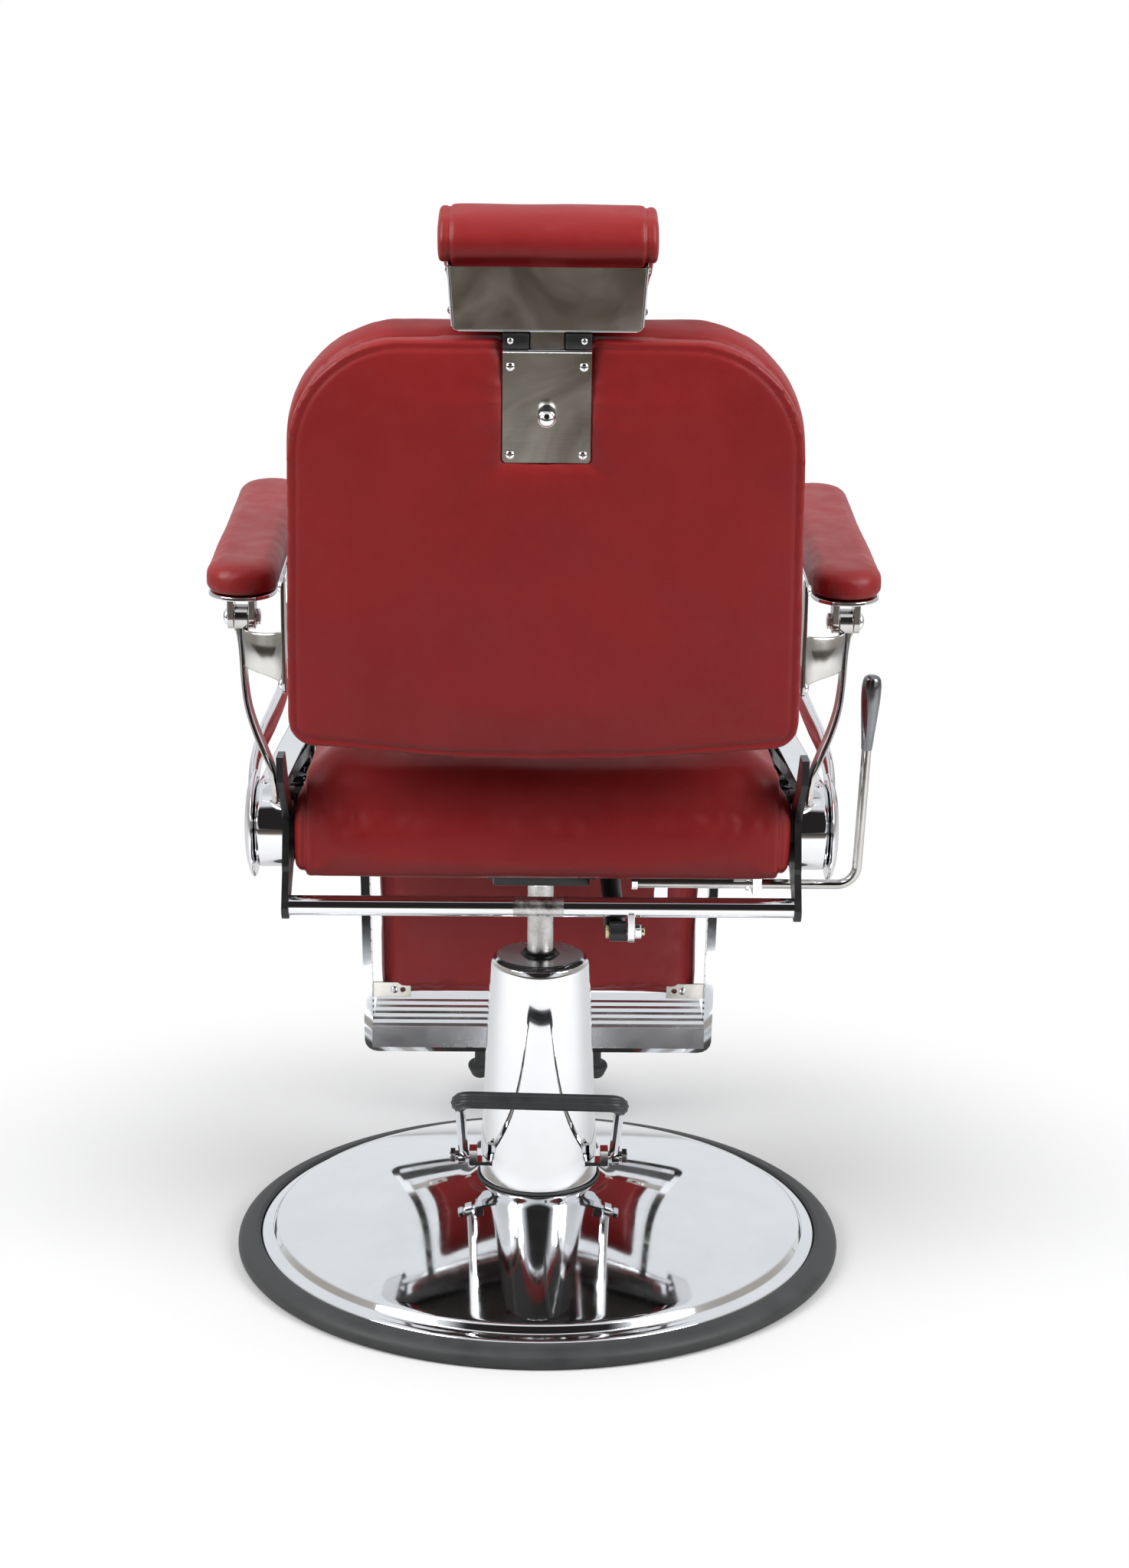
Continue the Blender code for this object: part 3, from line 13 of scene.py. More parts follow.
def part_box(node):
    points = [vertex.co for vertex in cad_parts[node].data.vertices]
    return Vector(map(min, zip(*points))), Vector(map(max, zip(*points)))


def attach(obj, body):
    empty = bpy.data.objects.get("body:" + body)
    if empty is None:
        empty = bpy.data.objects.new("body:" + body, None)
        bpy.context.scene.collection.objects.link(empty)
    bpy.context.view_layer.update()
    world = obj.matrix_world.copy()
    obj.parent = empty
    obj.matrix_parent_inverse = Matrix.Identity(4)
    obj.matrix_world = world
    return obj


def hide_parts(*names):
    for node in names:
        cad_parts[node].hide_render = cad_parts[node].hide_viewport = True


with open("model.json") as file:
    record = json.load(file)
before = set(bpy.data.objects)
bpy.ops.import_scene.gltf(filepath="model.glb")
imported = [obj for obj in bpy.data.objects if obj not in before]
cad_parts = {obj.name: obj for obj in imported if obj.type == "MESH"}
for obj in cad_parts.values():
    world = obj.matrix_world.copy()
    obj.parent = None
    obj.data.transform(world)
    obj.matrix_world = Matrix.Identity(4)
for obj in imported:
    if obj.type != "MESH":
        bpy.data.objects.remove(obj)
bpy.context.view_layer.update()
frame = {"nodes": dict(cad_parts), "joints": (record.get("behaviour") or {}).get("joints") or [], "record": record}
NODES = frame["nodes"]
BODY_OF = {node: body for body, names in frame["record"]["behaviour"]["bodies"].items() for node in names}
JOINTS = {joint["name"]: joint for joint in frame["joints"]}
SIDES = (("left", 1), ("right", -1))
WELD = 1e-6

# The back's own plane, as in the CAD: x to the sitter's left, y up the back, z forward.
BACK_FOOT = Vector((0.0, 0.330, 0.657))
BACK_LEAN = math.radians(80.65)
BACK_FRAME = Matrix.Translation(BACK_FOOT) @ Matrix.Rotation(BACK_LEAN, 4, "X")
BACK_HEIGHT = 0.4307
BACK_HALF_WIDTH = 0.2515
PLATE_HALF = 0.042
PLATE_LOW = 0.3116
PLATE_HIGH = 0.4202
KNOB_HEIGHT = 0.3596
CHANNEL_LOW = 0.4392
CHANNEL_HIGH = 0.4997
CHANNEL_HALF_LOW = 0.0892
CHANNEL_HALF_HIGH = 0.0925
CHANNEL_CORNER = 0.0045
FLANGE_DEPTH = 0.034
FLANGE_SPLAY = 0.003
FOOT_HINGE = Vector(JOINTS["footrest_tilt"]["pos_m"])
FOOT_FRAME = Matrix.Translation(FOOT_HINGE) @ Matrix.Rotation(math.radians(75.4), 4, "X")
PIVOT = Vector(JOINTS["recline"]["pos_m"])

CAMERA_PLACE = Vector((0.015, 3.0, 1.315))
CAMERA_TURN = math.radians(-0.78)
CAMERA_DIP = math.radians(14.30)
CAMERA_ROLL = math.radians(0.6)
CAMERA_LENS = 63.07
CAMERA_SENSOR = 36.0


# ---------------------------------------------------------------- materials


class Graph:
    """A node tree, built node by node."""

    def __init__(self, owner):
        owner.use_nodes = True
        self.tree = owner.node_tree

    def node(self, kind, inputs=(), **settings):
        """A shader node with its inputs: a socket is linked, and anything else is the input's value."""
        made = self.tree.nodes.new(f"ShaderNode{kind}")
        for key, value in settings.items():
            setattr(made, key, value)
        for key, value in dict(inputs).items():
            if isinstance(value, bpy.types.NodeSocket):
                self.tree.links.new(value, made.inputs[key])
            else:
                made.inputs[key].default_value = value
        return made

    def rise(self, value, start, stop):
        """Zero below the start and one beyond the stop, with a smooth climb between them."""
        inputs = {"Value": value, "From Min": start, "From Max": stop}
        return self.node("MapRange", inputs, interpolation_type="SMOOTHSTEP").outputs["Result"]

    def mixed(self, factor, first, second):
        """A colour between two, by a factor."""
        inputs = {"Factor": factor, "A": first, "B": second}
        return self.node("Mix", inputs, data_type="RGBA").outputs["Result"]

    def product(self, first, second):
        return self.node("Math", {0: first, 1: second}, operation="MULTIPLY").outputs[0]


class Shader(Graph):
    """A Principled material whose nodes are added one by one."""

    def __init__(self, name, **values):
        self.material = bpy.data.materials.new(name)
        super().__init__(self.material)
        self.surface = self.tree.nodes["Principled BSDF"]
        for key, value in values.items():
            self.surface.inputs[key.replace("_", " ")].default_value = value
        self.place = self.node("TexCoord").outputs["Object"]

    def to(self, output, socket):
        self.tree.links.new(output, self.surface.inputs[socket])

    def noise(self, scale, detail, rough, stretch=None, distortion=0.0):
        """A noise in the object's coordinates, which may be stretched along its axes."""
        place = self.place
        if stretch:
            place = self.node("Mapping", {"Scale": stretch, "Vector": place}).outputs["Vector"]
        inputs = {"Scale": scale, "Detail": detail, "Roughness": rough, "Distortion": distortion}
        return self.node("TexNoise", {**inputs, "Vector": place}).outputs["Fac"]

    def pebbles(self, scale):
        """Rounded cells, like the grain of leather."""
        made = self.node("TexVoronoi", {"Scale": scale, "Vector": self.place}, feature="SMOOTH_F1")
        return made.outputs["Distance"]

    def colour(self, factor, stops):
        """Colours along a factor, from (place, colour) stops."""
        made = self.node("ValToRGB", {"Fac": factor})
        elements = made.color_ramp.elements
        for element, (place, colour) in zip((elements[0], elements[1]), (stops[0], stops[-1])):
            element.position = place
            element.color = (*colour, 1.0)
        for place, colour in stops[1:-1]:
            elements.new(place).color = (*colour, 1.0)
        self.to(made.outputs["Color"], "Base Color")

    def gloss(self, factor, low, high):
        """A roughness that goes from low to high over the middle of the factor's range."""
        inputs = {"Value": factor, "From Min": 0.3, "From Max": 0.7, "To Min": low, "To Max": high}
        self.to(self.node("MapRange", inputs).outputs["Result"], "Roughness")

    def relief(self, *heights):
        """Chains (height, strength, distance) bumps into the surface's normal."""
        normal = None
        for height, strength, distance in heights:
            inputs = {"Strength": strength, "Distance": distance, "Height": height}
            made = self.node("Bump", inputs if normal is None else {**inputs, "Normal": normal})
            normal = made.outputs["Normal"]
        self.to(normal, "Normal")


METAL = {"Metallic": 1.0}
PLASTIC = {"IOR": 1.5}


def leather(name, deep, pale):
    """Red upholstery leather: pebbled grain, faint creases and a slow drift of tone."""
    made = Shader(name, IOR=1.48, Specular_IOR_Level=0.38)
    made.colour(made.noise(7.0, 4.0, 0.6), [(0.32, deep), (0.68, pale)])
    made.gloss(made.noise(38.0, 4.0, 0.6), 0.36, 0.50)
    creases = made.noise(95.0, 6.0, 0.62, distortion=0.6)
    made.relief((creases, 0.12, 0.0009), (made.pebbles(1150.0), 0.22, 0.0005))
    return made.material


def hard(name, values, tone, stops, gloss, relief=(), gloss_noise=None):
    """A hard finish. One noise gives its tone and its gloss, unless the gloss has its own. The relief is a
    noise, or None for the tone's, with its strength and distance."""
    made = Shader(name, **values)
    film = made.noise(*tone)
    made.colour(film, stops)
    made.gloss(made.noise(*gloss_noise) if gloss_noise else film, *gloss)
    if relief:
        noise, strength, distance = relief
        made.relief((made.noise(*noise) if noise else film, strength, distance))
    return made.material


LEATHER = leather("red_leather", (0.270, 0.0145, 0.0155), (0.325, 0.0185, 0.0195))
THREAD = leather("red_thread", (0.150, 0.016, 0.020), (0.210, 0.024, 0.028))
CHROME = hard(
    "chrome_plate", METAL, (9.0, 5.0, 0.65), [(0.3, (0.84, 0.85, 0.87)), (0.7, (0.91, 0.92, 0.93))],
    (0.030, 0.085), ((5.0, 2.0, 0.5), 0.05, 0.004), (26.0, 6.0, 0.7)
)
# Chrome that has been rubbed, on the crossbar's middle and the ram.
RUBBED = hard(
    "rubbed_chrome", METAL, (60.0, 6.0, 0.7), [(0.35, (0.42, 0.41, 0.39)), (0.65, (0.74, 0.74, 0.73))],
    (0.14, 0.42), ((420.0, 5.0, 0.7), 0.35, 0.0006)
)
# Stainless plate with finger marks and a faint rolled direction.
STEEL = hard(
    "scuffed_steel", METAL, (11.0, 4.0, 0.55, None, 1.2),
    [(0.30, (0.40, 0.38, 0.34)), (0.52, (0.56, 0.54, 0.49)), (0.75, (0.66, 0.64, 0.58))],
    (0.16, 0.30), ((90.0, 3.0, 0.6, (0.5, 12.0, 12.0)), 0.06, 0.0003)
)
EXTRUSION = hard(
    "ribbed_extrusion", METAL, (120.0, 4.0, 0.6, (0.08, 6.0, 6.0)),
    [(0.3, (0.76, 0.77, 0.79)), (0.7, (0.88, 0.89, 0.91))],
    (0.20, 0.30), (None, 0.06, 0.0002), (14.0, 4.0, 0.6)
)
RUBBER = hard(
    "black_rubber", PLASTIC, (24.0, 5.0, 0.65), [(0.3, (0.030, 0.032, 0.033)), (0.72, (0.060, 0.062, 0.063))],
    (0.48, 0.66), ((650.0, 4.0, 0.6), 0.16, 0.0004)
)
SLEEVE = hard(
    "ribbed_rubber", PLASTIC, (40.0, 5.0, 0.65),
    [(0.3, (0.018, 0.020, 0.022)), (0.72, (0.034, 0.036, 0.040))],
    (0.36, 0.52), ((500.0, 3.0, 0.6), 0.12, 0.0004)
)
# Black enamel with a little orange peel.
BLACK = hard(
    "black_enamel", PLASTIC, (30.0, 5.0, 0.6), [(0.3, (0.010, 0.010, 0.011)), (0.75, (0.024, 0.024, 0.025))],
    (0.24, 0.38), ((260.0, 2.0, 0.5), 0.08, 0.0004)
)
# Plated castings, a little darker and softer than the sheet chrome.
CAST = hard(
    "cast_chrome", METAL, (22.0, 5.0, 0.65), [(0.3, (0.50, 0.49, 0.47)), (0.7, (0.66, 0.65, 0.63))],
    (0.08, 0.17), ((11.0, 3.0, 0.5), 0.10, 0.004)
)
# Dark plated metal on the lever's grip, lighter where hands have worn it.
SMOKED = hard(
    "smoked_chrome", METAL, (18.0, 5.0, 0.6), [(0.3, (0.16, 0.17, 0.18)), (0.7, (0.34, 0.35, 0.36))],
    (0.16, 0.28), ((300.0, 4.0, 0.6), 0.10, 0.0003)
)
ZINC = hard(
    "yellow_zinc", METAL, (140.0, 4.0, 0.6), [(0.3, (0.62, 0.50, 0.24)), (0.7, (0.76, 0.70, 0.52))],
    (0.18, 0.34)
)
WOOD = hard(
    "black_stained_plywood", {"IOR": 1.45}, (30.0, 6.0, 0.6, (1.0, 0.12, 1.0), 0.8),
    [(0.3, (0.016, 0.014, 0.012)), (0.7, (0.040, 0.034, 0.028))], (0.55, 0.70), (None, 0.2, 0.0004)
)
SLOT_OF = {
    **dict.fromkeys((LEATHER, THREAD), "leather_back"),
    **dict.fromkeys((CHROME, RUBBED, CAST, SMOKED), "chrome"),
    **dict.fromkeys((RUBBER, SLEEVE), "rubber_black"),
    STEEL: "steel_plate",
    EXTRUSION: "tread_aluminium",
    BLACK: "black_steel",
    ZINC: "zinc_bolt",
    WOOD: "plywood",
}


# ---------------------------------------------------------------- mesh tools


def link(name, mesh):
    obj = bpy.data.objects.new(name, mesh)
    bpy.context.scene.collection.objects.link(obj)
    return obj


def from_bmesh(name, bm, matrix=None):
    if matrix is not None:
        bmesh.ops.transform(bm, matrix=matrix, verts=bm.verts)
    facing_out(bm)
    mesh = bpy.data.meshes.new(name)
    bm.to_mesh(mesh)
    bm.free()
    return link(name, mesh)


def edited(mesh, *steps):
    """Runs each step on the mesh's points, edges and faces."""
    bm = bmesh.new()
    bm.from_mesh(mesh)
    for step in steps:
        step(bm)
    bm.to_mesh(mesh)
    bm.free()


def welded(bm):
    bmesh.ops.remove_doubles(bm, verts=bm.verts, dist=WELD)


def facing_out(bm):
    bmesh.ops.recalc_face_normals(bm, faces=bm.faces)


def applied(obj, weld=False, matrix=None):
    """The object with its modifiers applied, as one plain mesh."""
    bpy.context.view_layer.update()
    graph = bpy.context.evaluated_depsgraph_get()
    mesh = bpy.data.meshes.new_from_object(obj.evaluated_get(graph))
    mesh.transform(obj.matrix_world)
    name = obj.name
    bpy.data.objects.remove(obj, do_unlink=True)
    if weld:
        edited(mesh, welded, facing_out)
    if matrix is not None:
        mesh.transform(matrix)
    mesh.name = name
    return link(name, mesh)


def smooth(obj, angle=35):
    obj.data.shade_smooth()
    obj.data.set_sharp_from_angle(angle=math.radians(angle))
    return obj


def bevel(obj, width, segments=3):
    modifier = obj.modifiers.new("edges", "BEVEL")
    modifier.width = width
    modifier.segments = segments
    modifier.limit_method = "ANGLE"
    modifier.angle_limit = math.radians(30)
    modifier.harden_normals = True
    return obj


def done(obj, material, body, replaces=(), smoothing=35):
    """Gives a piece its finish, its shading and the body that it rides on."""
    obj.data.materials.clear()
    obj.data.materials.append(material)
    if obj.type == "MESH":
        smooth(obj, smoothing)
    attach(obj, body)
    if replaces:
        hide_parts(*replaces)
    return obj


def box(name, low, high, matrix=None):
    low = Vector(low)
    high = Vector(high)
    bm = bmesh.new()
    bmesh.ops.create_cube(bm, size=1.0)
    bmesh.ops.scale(bm, vec=high - low, verts=bm.verts)
    bmesh.ops.translate(bm, vec=(low + high) / 2, verts=bm.verts)
    return from_bmesh(name, bm, matrix)


def along(start, end):
    direction = Vector(end) - Vector(start)
    turn = direction.to_track_quat("Z", "Y").to_matrix().to_4x4()
    return Matrix.Translation(Vector(start)) @ turn


def rod(name, start, end, radius, end_radius=None, sides=40):
    length = (Vector(end) - Vector(start)).length
    bm = bmesh.new()
    tip = radius if end_radius is None else end_radius
    bmesh.ops.create_cone(bm, cap_ends=True, segments=sides, radius1=radius, radius2=tip, depth=length)
    bmesh.ops.translate(bm, vec=(0, 0, length / 2), verts=bm.verts)
    return from_bmesh(name, bm, along(start, end))


def turned(name, profile, closed, matrix=None, steps=128):
    """A (radius, height) profile turned about Z: a ring if closed, else a solid of revolution."""
    bm = bmesh.new()
    verts = [bm.verts.new((radius, 0.0, height)) for radius, height in profile]
    for first, second in zip(verts, verts[1:]):
        bm.edges.new((first, second))
    if closed:
        bm.edges.new((verts[-1], verts[0]))
    mesh = bpy.data.meshes.new(name)
    bm.to_mesh(mesh)
    bm.free()
    obj = link(name, mesh)
    screw = obj.modifiers.new("turn", "SCREW")
    screw.axis = "Z"
    screw.steps = steps
    screw.render_steps = steps
    screw.use_merge_vertices = True
    screw.merge_threshold = WELD
    return applied(obj, True, matrix)


def rounded(profile, radius=0.0, count=5):
    """The open or closed (radius, height) profile with each inner corner rounded."""
    points = [Vector((r, h, 0.0)) for r, h in profile]
    made = [points[0].xy]
    for before, corner, after in zip(points, points[1:], points[2:]):
        first = before - corner
        second = after - corner
        reach = min(radius, first.length * 0.45, second.length * 0.45)
        start = corner + first.normalized() * reach
        end = corner + second.normalized() * reach
        for i in range(count):
            t = i / (count - 1)
            place = start * (1 - t) ** 2 + corner * 2 * t * (1 - t) + end * t**2
            made.append(place.xy)
    made.append(points[-1].xy)
    return [(p.x, p.y) for p in made]


def curve_of(name, dimensions, lines, closed):
    """A curve object of straight lines through the points."""
    curve = bpy.data.curves.new(name, "CURVE")
    curve.dimensions = dimensions
    for points in lines:
        spline = curve.splines.new("POLY")
        spline.points.add(len(points) - 1)
        for point, place in zip(spline.points, points):
            point.co = (*Vector(place).to_3d(), 1.0)
        spline.use_cyclic_u = closed
    return link(name, curve)


def tube(name, points, radius, resolution=6, matrix=None):
    obj = curve_of(name, "3D", [points], False)
    obj.data.bevel_depth = radius
    obj.data.bevel_resolution = resolution
    obj.data.use_fill_caps = True
    return applied(obj, True, matrix)


def combined(target, tool, operation):
    modifier = target.modifiers.new("boolean", "BOOLEAN")
    modifier.operation = operation
    modifier.solver = "EXACT"
    modifier.object = tool
    made = applied(target)
    bpy.data.objects.remove(tool, do_unlink=True)
    return made


def cut(target, *tools):
    for tool in tools:
        target = combined(target, tool, "DIFFERENCE")
    return target


def union(target, *tools):
    for tool in tools:
        target = combined(target, tool, "UNION")
    return target


def plate(name, outlines, thickness, matrix=None):
    """A flat outline, with any holes as further outlines, as thick as stated about its own plane."""
    obj = curve_of(name, "2D", outlines, True)
    obj.data.fill_mode = "BOTH"
    obj.data.extrude = thickness / 2
    made = applied(obj, True, matrix)
    edited(made.data, flattened(0.4))
    return made


def flattened(angle):
    """A step that joins the triangles of each face that is flat to this many degrees."""

    def step(bm):
        bmesh.ops.dissolve_limit(bm, angle_limit=math.radians(angle), verts=bm.verts, edges=bm.edges)

    return step


def side_plane(x):
    """The matrix of a plate's plane at this X: its own x runs along +Y and its own y up."""
    turn = Matrix(((0, 0, 1), (1, 0, 0), (0, 1, 0))).to_4x4()
    return Matrix.Translation((x, 0, 0)) @ turn


def circle(centre, radius):
    return arc(centre, radius, 0, 360, 65)[:-1]


def loft(name, rings, matrix=None):
    bm = bmesh.new()
    rows = [[bm.verts.new(point) for point in ring] for ring in rings]
    for low, high in zip(rows, rows[1:]):
        for i in range(len(low)):
            j = (i + 1) % len(low)
            bm.faces.new((low[i], low[j], high[j], high[i]))
    bm.faces.new(list(reversed(rows[0])))
    bm.faces.new(rows[-1])
    return from_bmesh(name, bm, matrix)


def merged(name, pieces):
    """Several meshes in one object, for fixings that share a body and a material."""
    bm = bmesh.new()
    for piece in pieces:
        mesh = piece.data.copy()
        mesh.transform(piece.matrix_world)
        bm.from_mesh(mesh)
        bpy.data.meshes.remove(mesh)
        bpy.data.objects.remove(piece, do_unlink=True)
    return from_bmesh(name, bm)


def arc(centre, radius, start, end, count):
    points = []
    for i in range(count):
        angle = math.radians(start + (end - start) * i / (count - 1))
        points.append((centre[0] + radius * math.cos(angle), centre[1] + radius * math.sin(angle)))
    return points


def smooth_path(points, per_span=4):
    """A Catmull-Rom curve through the points."""
    points = [Vector(p) for p in points]
    ends = [2 * points[0] - points[1], *points, 2 * points[-1] - points[-2]]
    made = []
    for i in range(1, len(ends) - 2):
        a, b, c, d = ends[i - 1 : i + 3]
        for step in range(per_span):
            t = step / per_span
            curve = 2 * b + (c - a) * t + (2 * a - 5 * b + 4 * c - d) * t**2 + (3 * b - a - 3 * c + d) * t**3
            made.append(0.5 * curve)
    return [*made, points[-1]]


def round_corners(corners, radius, count=8):
    """A 3-D polyline with each of its inner corners turned into an arc."""
    corners = [Vector(c) for c in corners]
    made = [corners[0]]
    for before, corner, after in zip(corners, corners[1:], corners[2:]):
        first = (before - corner).normalized()
        second = (after - corner).normalized()
        half = first.angle(second) / 2
        reach = radius / math.tan(half)
        centre = corner + (first + second).normalized() * radius / math.sin(half)
        start = corner + first * reach - centre
        end = corner + second * reach - centre
        made += [centre + start.slerp(end, i / (count - 1)) * radius for i in range(count)]
    return [*made, corners[-1]]


def mirrored(point, side):
    return Vector((point[0] * side, point[1], point[2]))


def stations_of(path):
    """Each place on a path, the direction through its neighbours and its share of the way."""
    last = len(path) - 1
    return [(place, path[min(i + 1, last)] - path[max(i - 1, 0)], i / last) for i, place in enumerate(path)]


def flat_ring(centre, axes, halves, powers, count, side):
    """A flat bar's rounded section, from its two axes and half sizes."""
    ring = []
    for k in range(count):
        angle = 2 * math.pi * (k + 0.5) / count
        place = centre
        for axis, half, power, part in zip(axes, halves, powers, (math.cos(angle), math.sin(angle))):
            place = place + axis * (math.copysign(abs(part) ** power, part) * half)
        ring.append(mirrored(place, side))
    return ring


def copied(node, name=None, flat=True):
    """A CAD node's mesh as a new piece, with its triangles joined back into flat faces."""
    mesh = NODES[node].data.copy()
    edited(mesh, welded, *([flattened(0.6)] if flat else []))
    mesh.materials.clear()
    normal = mesh.attributes.get("custom_normal")
    if normal:
        mesh.attributes.remove(normal)
    return link(name or f"{node}_finish", mesh)


def refined(node, material, width=0.0007, segments=2):
    """A CAD node with eased edges, in place of the sharp one."""
    obj = copied(node)
    if width:
        bevel(obj, width, segments)
    return done(obj, material, BODY_OF[node], (node,))


# ---------------------------------------------------------------- soft goods


def coordinates(obj):
    values = np.empty(len(obj.data.vertices) * 3, np.float64)
    obj.data.vertices.foreach_get("co", values)
    return values.reshape(-1, 3)


def set_coordinates(obj, values):
    obj.data.vertices.foreach_set("co", np.ascontiguousarray(values, np.float32).ravel())
    obj.data.update()


def normals(obj):
    values = np.empty(len(obj.data.vertices) * 3, np.float64)
    obj.data.vertices.foreach_get("normal", values)
    return values.reshape(-1, 3)


def remeshed(obj, voxel, smoothing=6):
    modifier = obj.modifiers.new("voxels", "REMESH")
    modifier.mode = "VOXEL"
    modifier.voxel_size = voxel
    soft = obj.modifiers.new("soften", "SMOOTH")
    soft.factor = 0.5
    soft.iterations = smoothing
    return applied(obj)


AIR_FRAMES = 20


def inflated(obj, pressure, cap, held=None):
    """Fills the skin with air for a number of frames, holding each point within the cap of where it began."""
    start = coordinates(obj)
    cloth = obj.modifiers.new("air", "CLOTH")
    cloth.settings.quality = 5
    cloth.settings.mass = 0.3
    cloth.settings.tension_stiffness = 12
    cloth.settings.compression_stiffness = 12
    cloth.settings.shear_stiffness = 6
    cloth.settings.bending_stiffness = 0.6
    cloth.settings.use_pressure = True
    cloth.settings.uniform_pressure_force = pressure
    cloth.settings.effector_weights.gravity = 0.0
    cloth.point_cache.frame_start = 1
    cloth.point_cache.frame_end = AIR_FRAMES
    if held is not None:
        group = obj.vertex_groups.new(name="held")
        for index in np.nonzero(held(start))[0]:
            group.add([int(index)], 1.0, "REPLACE")
        cloth.settings.vertex_group_mass = "held"
    scene = bpy.context.scene
    for number in range(1, AIR_FRAMES + 1):
        scene.frame_set(number)
    graph = bpy.context.evaluated_depsgraph_get()
    mesh = obj.evaluated_get(graph).to_mesh()
    moved = np.empty(len(mesh.vertices) * 3, np.float64)
    mesh.vertices.foreach_get("co", moved)
    obj.evaluated_get(graph).to_mesh_clear()
    obj.modifiers.remove(cloth)
    scene.frame_set(1)
    shift = moved.reshape(-1, 3) - start
    length = np.linalg.norm(shift, axis=1, keepdims=True)
    shift *= np.minimum(1.0, cap / np.maximum(length, 1e-9))
    set_coordinates(obj, start + shift)
    return obj


def subdivided(obj):
    modifier = obj.modifiers.new("fine", "SUBSURF")
    modifier.levels = 1
    modifier.render_levels = 1
    return applied(obj)


def pressed(obj, depth_at):
    """Moves each point along its normal by what depth_at gives for its place, inward if positive."""
    places = coordinates(obj)
    set_coordinates(obj, places - normals(obj) * depth_at(places)[:, None])
    return obj


def ripple(places, scale, amount, seed=0):
    """Slow irregular waves over a surface, for fabric that isn't quite even."""
    random = np.random.default_rng(seed + 11)
    values = np.zeros(len(places))
    for _ in range(7):
        direction = random.normal(size=3)
        direction *= scale * random.uniform(0.6, 1.7) / np.linalg.norm(direction)
        values += np.sin(places @ direction + random.uniform(0, 2 * math.pi))
    return values * amount / 2.6


def dip(distance, width):
    return np.exp(-((distance / width) ** 2))


STITCH_SINK = 0.0002


def stitch_shape():
    """The points and faces of one stitch of unit size, lying along Y."""
    bm = bmesh.new()
    bmesh.ops.create_uvsphere(bm, u_segments=8, v_segments=6, radius=1.0)
    points = np.array([v.co for v in bm.verts])
    faces = [[v.index for v in face.verts] for face in bm.faces]
    bm.free()
    return points, faces


def stitches(name, obj, path, toward, body, pitch=0.0046, length=0.0031, radius=0.00042):
    """A row of thread stitches laid along a path on a piece's surface."""
    tree = BVHTree.FromObject(obj, bpy.context.evaluated_depsgraph_get())
    shape, shape_faces = stitch_shape()
    points = [Vector(p) for p in path]
    toward = Vector(toward).normalized()
    verts = []
    faces = []
    travelled = 0.0
    place = 0.0
    for a, b in zip(points, points[1:]):
        gap = (b - a).length
        while place < travelled + gap:
            centre = a.lerp(b, (place - travelled) / max(gap, 1e-9))
            hit, normal, _, _ = tree.ray_cast(centre - toward * 0.05, toward, 0.12)
            place += pitch
            if hit is None:
                continue
            run = (b - a).normalized()
            run = (run - normal * run.dot(normal)).normalized()
            turn = np.array((normal.cross(run), run, normal)).T
            scaled = shape * (radius, length / 2, radius)
            first = len(verts) * len(shape)
            verts.append(scaled @ turn.T + np.array(hit - normal * STITCH_SINK))
            faces += [[first + i for i in face] for face in shape_faces]
        travelled += gap
    mesh = bpy.data.meshes.new(name)
    mesh.from_pydata(np.concatenate(verts).tolist(), [], faces)
    return done(link(name, mesh), THREAD, body)


def cushion_from(node, shrink, voxel, pressure, cap, smoothing=6, held=None):
    """A CAD cushion turned into an air-filled leather one."""
    obj = copied(node, f"{node}_leather", flat=False)
    if shrink:
        places = coordinates(obj)
        low, high = places.min(0), places.max(0)
        middle = (low + high) / 2
        set_coordinates(obj, middle + (places - middle) * (1 - 2 * shrink / np.maximum(high - low, 1e-6)))
    obj = remeshed(obj, voxel, smoothing)
    obj = inflated(obj, pressure, cap, held)
    return subdivided(obj)


# Below this height the seat's leather is tacked to its board.
SEAT_TACKED = 0.5125


def make_seat_cushion():
    """The seat: a boxed cushion whose side panels are sewn in, with a roll at the rear."""
    low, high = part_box("seat_cushion")

    def tacked(places):
        return places[:, 2] < SEAT_TACKED

    obj = cushion_from("seat_cushion", 0.002, 0.0055, 4.0, 0.005, held=tacked)
    seam = high.x - 0.0115

    def depth(places):
        side = np.abs(np.abs(places[:, 0]) - seam)
        groove = 0.0030 * dip(side, 0.0026)
        flat = np.clip((low.z + 0.010 - places[:, 2]) / 0.010, 0, 1)
        swell = 0.0011 * dip(side - 0.007, 0.004) * -1.0
        folds = (ripple(places, 60.0, 0.0005) + ripple(places, 22.0, 0.0010, 3)) * (1 - flat)
        return groove + swell + folds

    pressed(obj, depth)
    places = coordinates(obj)
    places[:, 2] = np.maximum(places[:, 2], low.z)
    places[:, 0] = np.clip(places[:, 0], low.x - 0.001, high.x + 0.001)
    set_coordinates(obj, places)
    done(obj, LEATHER, "seat", ("seat_cushion",), 60)
    for name, side in SIDES:
        x = side * (seam - 0.0050)
        path = [
            (x, high.y - 0.030, high.z - 0.030), (x, high.y, high.z - 0.040), (x, high.y, low.z + 0.012),
        ]
        stitches(f"seat_stitch_rear_{name}", obj, path, (0, -1, 0), "seat")
        top = [(x, low.y + 0.045, high.z), (x, high.y - 0.045, high.z)]
        stitches(f"seat_stitch_top_{name}", obj, top, (0, 0, -1), "seat")
        front = [(x, low.y, high.z - 0.040), (x, low.y, low.z + 0.020)]
        stitches(f"seat_stitch_front_{name}", obj, front, (0, 1, 0), "seat")


